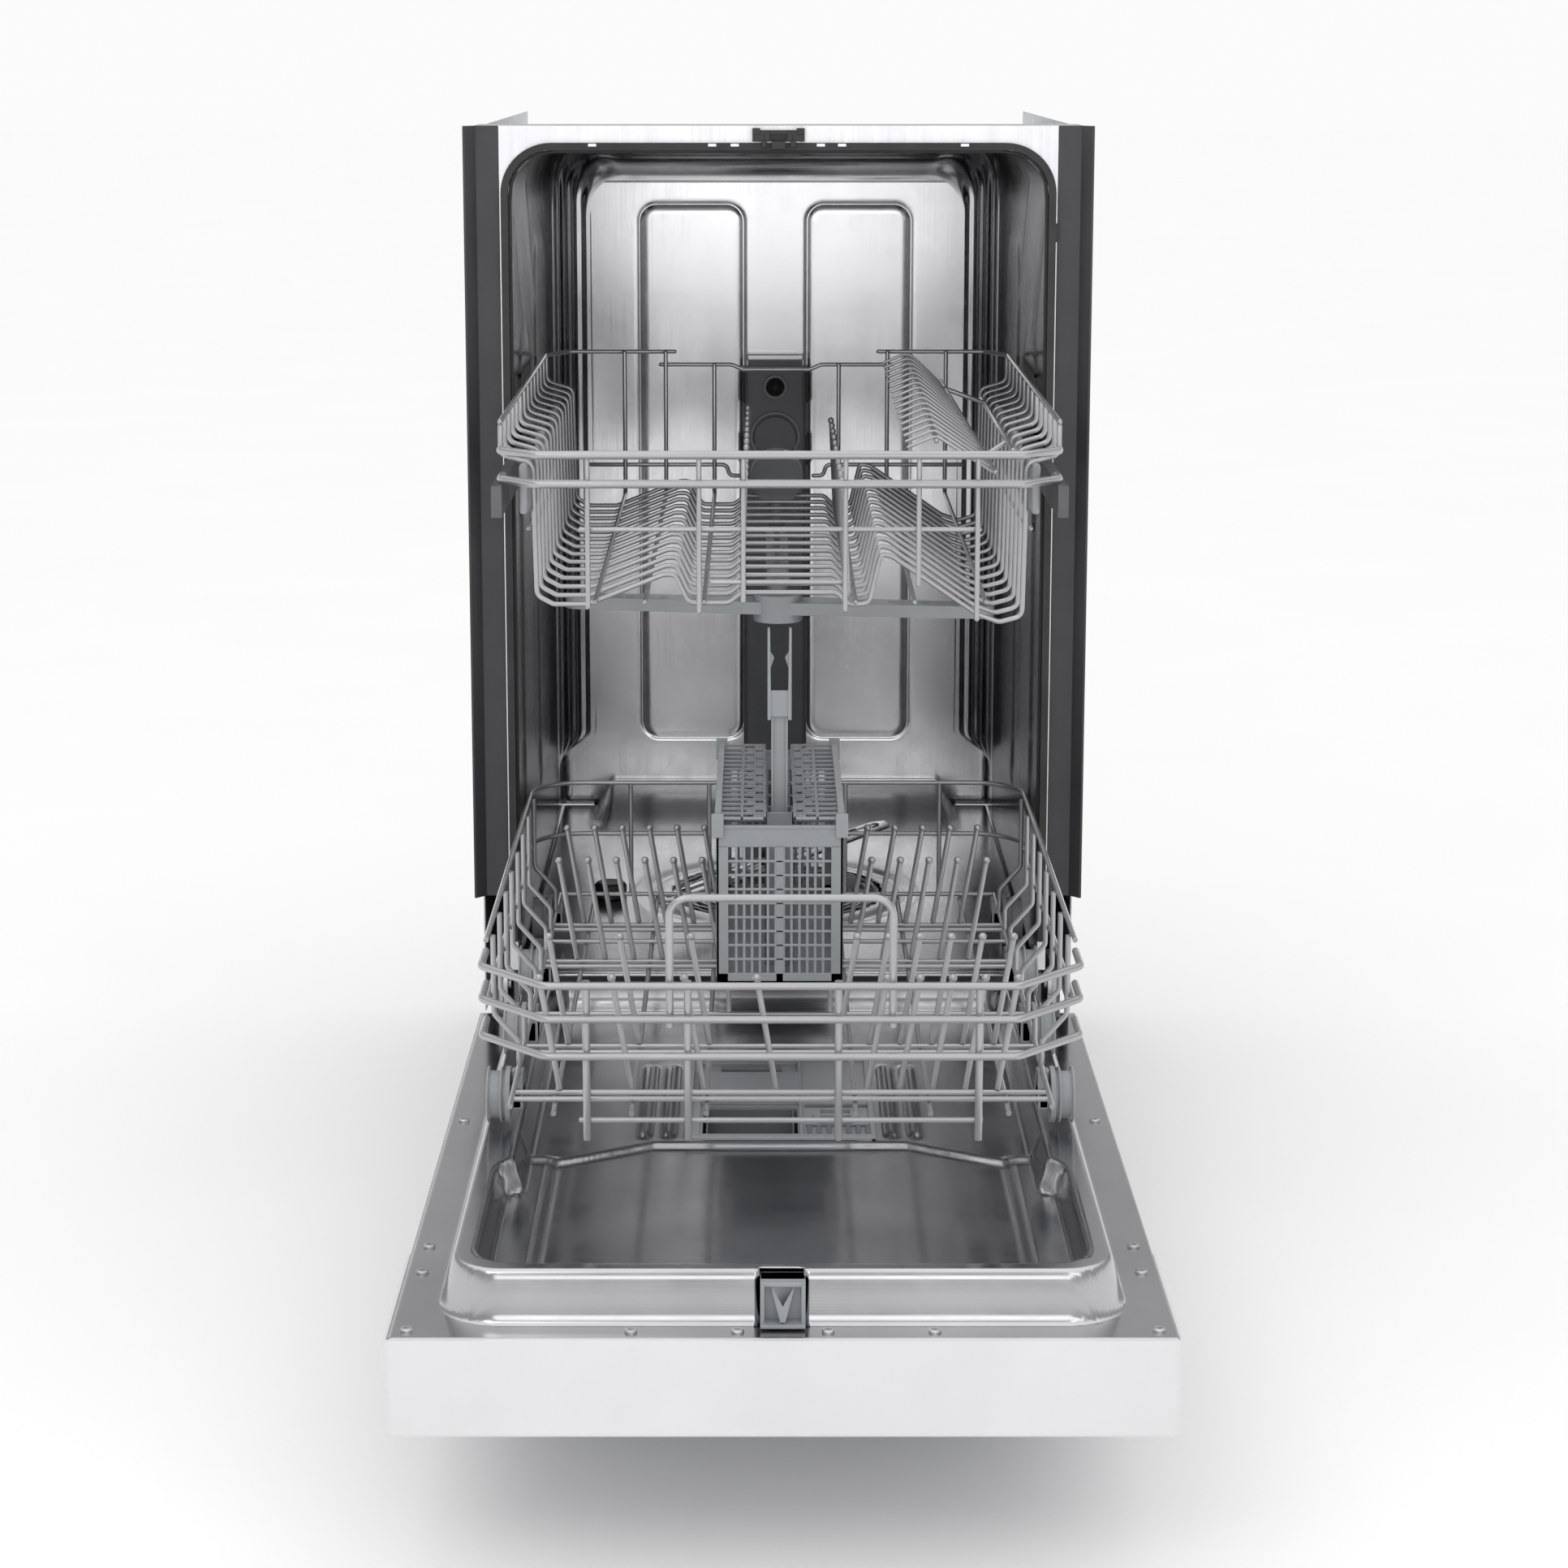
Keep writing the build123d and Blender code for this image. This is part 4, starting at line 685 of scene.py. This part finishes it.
def build_basket():
    """Lattice basket with a solid top band, corner columns, a middle divider and the handle's sleeve."""
    half, front, back, low = BASKET_HALF, BASKET_FRONT, BASKET_BACK, BASKET_LOW
    boxes = [((-half, front, low), (half, back, low + WALL))]
    boxes += basket_end(front, front + WALL) + basket_end(back - WALL, back)
    boxes += basket_side(-half, -half + WALL) + basket_side(half - WALL, half)
    divider_top = 350
    boxes.append(((-1, front + WALL, low), (1, HANDLE_Y - SLEEVE_HALF, divider_top)))
    boxes.append(((-1, HANDLE_Y + SLEEVE_HALF, low), (1, back - WALL, divider_top)))
    outer, inner = SLEEVE_HALF, SLEEVE_HALF - 1.5
    for x0, x1, y0, y1 in ((-outer, outer, -outer, -inner), (-outer, outer, inner, outer),
                           (-outer, -inner, -outer, outer), (inner, outer, -outer, outer)):
        boxes.append(((x0, HANDLE_Y + y0, low), (x1, HANDLE_Y + y1, BASKET_TOP)))
    for x in (-half + 1, half - 1):
        for y0, y1 in ((front - HOOK_REACH, front), (back, back + HOOK_REACH)):
            boxes.append(((x - 4, y0, BASKET_TOP - HOOK_RISE), (x + 4, y1, BASKET_TOP + HOOK_RISE)))
    moulding("basket_lattice", boxes, grey_plastic, "lower_rack", ["cutlery_basket"],
             edge=0.35)


def build_lids():
    """Two slotted lids, each a frame of bars with a zigzag strip along the middle of the basket."""
    near, far = [corner[1] for corner in cad_box("basket_lid_left")]
    slots = 17
    step = (far - near - 3) / slots
    for side, name in ((-1, "left"), (1, "right")):
        def bar(x0, x1, y0, y1, z0=369.0, z1=370.8):
            """A bar of this lid, from x0 to x1 away from the basket's middle."""
            low_x, high_x = sorted((side * x0, side * x1))
            return (low_x, y0, z0), (high_x, y1, z1)

        boxes = [bar(38.6, 43, near + 7, far - 7, 367.4, 372.6), bar(24, 26, near, far),
                 bar(9, 11, near, far)]
        for i in range(slots + 1):
            y = near + i * step
            boxes.append(bar(9, 40, y, y + 2.2))
        for i in range(slots):
            y = near + 2 + i * step
            shift = 5 * (i % 2)
            boxes.append(bar(11 + shift, 17 + shift, y + 4.6, y + 6.2))
            boxes.append(bar(16, 17.2, y, y + step))
        moulding(f"basket_lid_{name}_grid", boxes, grey_plastic, f"basket_lid_{name}",
                 [f"basket_lid_{name}"], edge=0.3)


# ---------------------------------------------------------------- spray arm, filter, duct

ARM_REACH, ARM_HALF, ARM_Z, ARM_TURN = 161.0, 15.0, 218.6, radians(55)
CUP_X, CUP_Y, CUP_RADIUS = middle("filter_cup", 0), middle("filter_cup", 1), 25.2
DUCT_FACE = 523


def on_arm(along, across):
    """X and Y of a place given along and across the lower spray arm."""
    cosine, sine = cos(ARM_TURN), sin(ARM_TURN)
    return along * cosine - across * sine, SUMP_Y + along * sine + across * cosine


def build_lower_arm():
    """Pressed steel arm: a crowned blade with a groove along it, black marks over its jets as their
    painted shade, and a hub cap.
    """
    ends = [(-ARM_REACH, -ARM_REACH + 14), (ARM_REACH - 14, ARM_REACH)]
    across = np.linspace(-1, 1, 25)
    rows = []
    for along in stations(-ARM_REACH, ARM_REACH, 4.0, ends, 0.8):
        half_width = ARM_HALF * (1 - 0.25 * abs(along) / ARM_REACH)
        from_end = max(ARM_REACH - abs(along), 0.02)
        round_off = min(1.0, (1 - (1 - min(from_end / half_width, 1)) ** 2) ** 0.5)
        groove = 1.4 * np.exp(-(across / 0.25) ** 2) * (abs(along) < ARM_REACH - 12)
        x, y = on_arm(along, across * half_width * round_off)
        rows.append(np.stack([x, y, ARM_Z + 2.4 * (1 - across ** 2) ** 0.5 - groove], 1))
    # The blade takes the lightened steel: painted light.
    sheet_metal("lower_arm_blade", np.array(rows), painted_light_steel, "lower_spray_arm",
                ["lower_spray_arm"], thick=0.9)
    # Black capsules on the blade stand for the dark holes of the jets: painted shade.
    jets = []
    for along in (-140, -118, -96, -74, -50, 50, 74, 96, 118, 140):
        off = 4.5 if (along // 2) % 2 else -4.5
        jets.append([(*on_arm(along + end, off), ARM_Z + 1) for end in (-4.5, 4.5)])
    wires("lower_arm_jet_shade", jets, 3.4, "lower_spray_arm", material=black_plastic)
    hub = [(0, SUMP_Y, 214), (0, SUMP_Y, 220.6)]
    wires("lower_arm_hub", [hub], 26, "lower_spray_arm", material=black_plastic)


def build_filter():
    """Coarse filter plate with its concentric ribs, open where the filter cup stands."""
    turn, radius = np.meshgrid(np.linspace(0, 2 * pi, 145), np.linspace(22, SUMP_RADIUS, 74),
                               indexing="ij")
    x, y = radius * np.cos(turn), SUMP_Y + radius * np.sin(turn)
    scallops = 0.7 * np.cos(turn * 18) * smooth(radius, 60, 80)
    z = 191.8 + 0.9 * np.cos(radius * 2 * pi / 7.5) + scallops
    cell_x, cell_y = (x[:-1, :-1] + x[1:, 1:]) / 2, (y[:-1, :-1] + y[1:, 1:]) / 2
    hole = np.hypot(cell_x - CUP_X, cell_y - CUP_Y) < CUP_RADIUS
    sheet_metal("filter_plate", np.stack([x, y, z], -1), tub_floor_steel, "cabinet",
                ["coarse_filter"], hole, thick=0.7)


def build_duct_details():
    """Ring with a black disc in it, painted shade of the port's opening in the duct's front; its dome
    rings and arch, clips at its edges, and its cap.
    """
    port_z, dome_z = 574, 530
    rings = [circle((0, DUCT_FACE + 0.4, z), radius, (1, 0, 0), (0, 0, 1), 37)
             for z, radius in ((port_z, 9.5), (dome_z, 21), (dome_z, 14))]
    wires("duct_rings", rings, 3.2, "cabinet", material=grey_plastic, bend=1)
    # A black disc fills the ring's opening: painted shade of the port.
    port = [(0, 522.6, port_z), (0, 526, port_z)]
    wires("duct_port_shade", [port], 15.6, "cabinet", material=black_plastic)
    arch = [(x, DUCT_FACE, z) for x, z in ((-17, 470), (-17, 540), (17, 540), (17, 470))]
    wires("duct_arch", [arch], 2.8, "cabinet", material=grey_plastic, bend=17)
    clips = [((side * 28.4 - 1.2, 526, z), (side * 28.4 + 1.2, 539, z + 26)) for side in (-1, 1)
             for z in (505, 560)]
    moulding("duct_clips", clips, black_plastic, "cabinet", edge=0.4)
    # The cap takes the lightened flange steel with its painted reflection.
    cap = [((-25, 524.5, 597.5), (25, 539.5, 603))]
    moulding("duct_cap", cap, flange_steel, "cabinet", edge=1.2)


# ---------------------------------------------------------------- handle, latch, dispenser, wheels, front


def hull(shape, corners):
    """Adds the closed block spanned by corner points in millimetres."""
    made = [shape.verts.new([c * MM for c in corner]) for corner in corners]
    bmesh.ops.convex_hull(shape, input=made)


def build_handle():
    """Basket handle: a ribbed stem that opens into a fork."""
    (_, y0, stem_low), (fork_half, y1, fork_top) = cad_box("basket_handle")
    stem_high, half = 436, 5.5
    boxes = [((-half, y0 + 3.5, stem_low), (half, y1 - 3.5, stem_high)),
             ((-fork_half, y0 + 1, 430), (fork_half, y0 + 3, 448))]
    for x0, x1 in ((-half, -4), (4, half)):
        boxes.append(((x0, y0 + 1.5, stem_low), (x1, y1 - 1.5, stem_high)))

    def prongs(shape):
        """The two arms of the fork, each with a tooth on its inside."""
        arm = ((fork_half, 428), (5.6, 428), (fork_half, fork_top), (6.4, fork_top))
        tooth = ((6.4, 474), (3.6, 470), (6.4, 462))
        for side in (-1, 1):
            hull(shape, [(side * x, y, z) for x, z in arm for y in (y0, y1 - (3 if z > 450 else 1))])
            hull(shape, [(side * x, y, z) for x, z in tooth for y in (y0 + 2, y1 - 3)])

    moulding("basket_handle_fork", boxes, grey_plastic, "basket_handle",
             ["basket_handle"], edge=0.5, extra=prongs)


def build_striker():
    """Latch striker: an open box in the door's front wall with a wedge down its middle."""
    (_, front, foot), (half, back, top) = cad_box("latch_striker")
    inner = half - 2.4
    boxes = [((-half, -598, 163), (half, back, top)), ((-half, -604, top - 2.4), (half, -587, top)),
             ((-half, front, foot), (half, -588, 163.4))]
    for x0, x1 in ((-half, -inner), (inner, half)):
        boxes.append(((x0, -605, 162), (x1, -587, 186)))

    def wedge(shape):
        """The wedge, broad at its top, and the nose in front of it."""
        ends = ((-7, 184, -601), (7, 184, -601), (-1.4, 164, -606), (1.4, 164, -606))
        hull(shape, [(x, y, z) for x, z, near in ends for y in (near, -589)])
        nose = [(0, -604, 172), (0, -600, 165)]
        hull(shape, [(x, y, 184) for x in (-7, 7) for y in (-601, -589)] + nose)

    moulding("latch_striker_box", boxes, grey_plastic, "door", ["latch_striker"],
             edge=0.5, extra=wedge)


def build_dispenser_details():
    """Raised frame, the cup lined in darker plastic as painted shade in its recess, and the ribs beside
    the rinse aid cap.
    """
    (x0, y0, _), (x1, y1, top) = cad_box("dispenser_housing")
    foot = top - 2
    frame_bars = [((x0, y0, foot), (x1, y0 + 7, 172.4)), ((x0, y1 - 4, foot), (x1, y1, 171.6)),
                  ((x0, y0, foot), (x0 + 4, y1, 171.8)), ((x1 - 4, y0, foot), (x1, y1, 171.8)),
                  ((13, y0, foot), (15.4, y1, 171.8))]
    moulding("dispenser_frame", frame_bars, grey_plastic, "door", edge=1.0)
    # The cup's walls and floor are lined in darker plastic: painted shade in the recess.
    left, right, near, far = -48.6, 9.6, -296.6, -239.4
    cup = [((left, near, 134.6), (right, far, 136))]
    for low, high in (((left, near), (left + 1, far)), ((right - 1, near), (right, far)),
                      ((left, near), (right, near + 1)), ((left, far - 1), (right, far))):
        cup.append(((*low, 135), (*high, 167)))
    moulding("dispenser_cup_shade_lining", cup, duct_plastic, "door", edge=0.3)
    rib_foot = top - 1
    ribs = [((18 + 6.4 * i, -303, rib_foot), (21 + 6.4 * i, -288, 172.2)) for i in range(7)]
    ribs += [((17, -246, rib_foot), (59, -243, 172)), ((17, -286, rib_foot), (59, -284.4, 171.6)),
             ((-58, -232, rib_foot), (-54, -176, 172.2)), ((-40, -168, rib_foot), (2, -160, 171.8))]
    moulding("dispenser_ribs", ribs, duct_plastic, "door", edge=0.5)


def build_wheel_details():
    """Raised rings on both faces of each wheel, and the clips that hold the wheels to the rack."""
    axle_z = middle("lower_wheels_1", 2)
    clips = []
    for axle in range(1, 5):
        y = middle(f"lower_wheels_{axle}", 1)
        rings = []
        for side in (-1, 1):
            for x, radius in ((186.2, 17.2), (177.8, 17.2), (186.4, 8.0), (177.6, 8.0)):
                rings.append(circle((side * x, y, axle_z), radius, (0, 1, 0), (0, 0, 1), 33))
            near, far = sorted((side * 164, side * 172))
            clips.append(((near, y - 9, axle_z - 8), (far, y + 9, axle_z + 8)))
            clips.append(((near, y - 4, axle_z + 6), (far, y + 4, axle_z + 17)))
        wires(f"wheel_rings_{axle}", rings, 1.5, f"lower_wheels_{axle}", material=grey_plastic, bend=1)
    moulding("wheel_clips", clips, grey_plastic, "lower_rack", edge=1.6)


def build_front_details():
    """Catch claws, the tabs and bead of the gasket, and the bright lip below the mouth."""
    claws = [((-12, -10, 800), (-8.5, -2, 805)), ((8.5, -10, 800), (12, -2, 805)),
             ((-5, -10.5, 798.6), (5, -3, 804.4)), ((-18.5, -10, 809), (-13, -2, 813.4)),
             ((13, -10, 809), (18.5, -2, 813.4))]
    flange_clip = ((196, -5, 733), (200, -1.6, 746))
    moulding("front_clips", claws + [flange_clip], black_plastic, "cabinet", edge=0.4)
    # Small tabs in the lightened flange steel: real fixings whose brightness is a painted glint.
    tabs = [((x - 3, -7.6, 800.4), (x + 3, -6.6, 802.6)) for x in (-132, -47, -31, 30, 45, 132)]
    moulding("gasket_tabs", tabs, flange_steel, "cabinet", edge=0.3)
    half, top, foot = TUB_HALF + 0.1, TUB_TOP + 0.1, 200
    bead = [(x, -0.5, z) for x, z in ((-half, foot), (-half, top), (half, top), (half, foot))]
    wires("gasket_bead", [bead], 3.0, "cabinet", material=rubber, bend=ROOF_RADIUS)
    # The lip takes the lightened steel: painted light.
    lip = [((-190, -8.5, 191.5), (190, -2, 194))]
    moulding("mouth_lip", lip, painted_light_steel, "cabinet", edge=0.8)


build_tub_wrap()
build_tub_back()
build_tub_floor()
build_liner()
build_upper_rack()
build_cup_shelf()
build_basket()
build_lids()
build_lower_arm()
build_filter()
build_duct_details()
build_handle()
build_striker()
build_dispenser_details()
build_wheel_details()
build_front_details()


# ---------------------------------------------------------------- floor, light and camera


def area_light(name, place, aim, size, power):
    """A soft square light at place, facing aim."""
    data = bpy.data.lights.new(name, "AREA")
    data.shape = "RECTANGLE"
    data.size, data.size_y = size
    data.energy = power
    made = linked(name, data)
    made.location = place
    made.rotation_euler = (Vector(aim) - Vector(place)).to_track_quat("-Z", "Y").to_euler()


def studio():
    """A pale floor, a surround that is greyest between horizon and zenith, and three soft lights."""
    bpy.ops.mesh.primitive_plane_add(size=60)
    floor = bpy.context.object
    floor.name = "studio_floor"
    made, tree, bsdf = shader("studio_floor", 0.0)
    tree.links.new(tint(tree, noise(tree, 3.0), (0.985, 0.985, 0.985), (1.0, 1.0, 1.0)),
                   bsdf.inputs["Base Color"])
    bsdf.inputs["Roughness"].default_value = 0.8
    bsdf.inputs["Specular IOR Level"].default_value = 0.1
    floor.data.materials.append(made)
    surround = bpy.data.worlds.new("studio")
    surround.use_nodes = True
    tree = surround.node_tree
    direction = tree.nodes.new("ShaderNodeTexCoord")
    split = tree.nodes.new("ShaderNodeSeparateXYZ")
    ramp = tree.nodes.new("ShaderNodeValToRGB")
    stops = ((0.0, 0.7), (0.06, 0.7), (0.22, 0.36), (0.5, 0.34), (0.75, 0.9), (1.0, 1.0))
    for place, _ in stops[1:-1]:
        ramp.color_ramp.elements.new(place)
    for element, (place, tone) in zip(ramp.color_ramp.elements, stops):
        element.position = place
        element.color = (tone, tone, tone, 1)
    tree.links.new(direction.outputs["Generated"], split.inputs[0])
    tree.links.new(split.outputs["Z"], ramp.inputs["Fac"])
    tree.links.new(ramp.outputs["Color"], tree.nodes["Background"].inputs["Color"])
    tree.nodes["Background"].inputs["Strength"].default_value = 1.38
    bpy.context.scene.world = surround
    area_light("key", (-1.0, -2.5, 2.2), (0, 0, 0.5), (1.4, 1.0), 8)
    area_light("fill", (1.2, -2.5, 1.5), (0, 0, 0.4), (1.0, 1.0), 4)
    area_light("front", (0, -2.7, 1.0), (0, 0.4, 0.5), (1.6, 0.5), 4)


def picture():
    """Plain display colours, so that the white surround stays white."""
    bpy.context.scene.view_settings.view_transform = "Standard"


def camera():
    """The camera that looks into the open machine, a little down."""
    data = bpy.data.cameras.new("camera")
    data.lens = 75.1
    data.sensor_width = 36.0
    data.shift_x = 0.0143
    data.shift_y = -0.0911
    made = linked("camera", data)
    made.location = (-0.012, -2.3485, 0.8754)
    made.rotation_euler = (radians(79.57), 0, 0)
    bpy.context.scene.camera = made


studio()
picture()
camera()
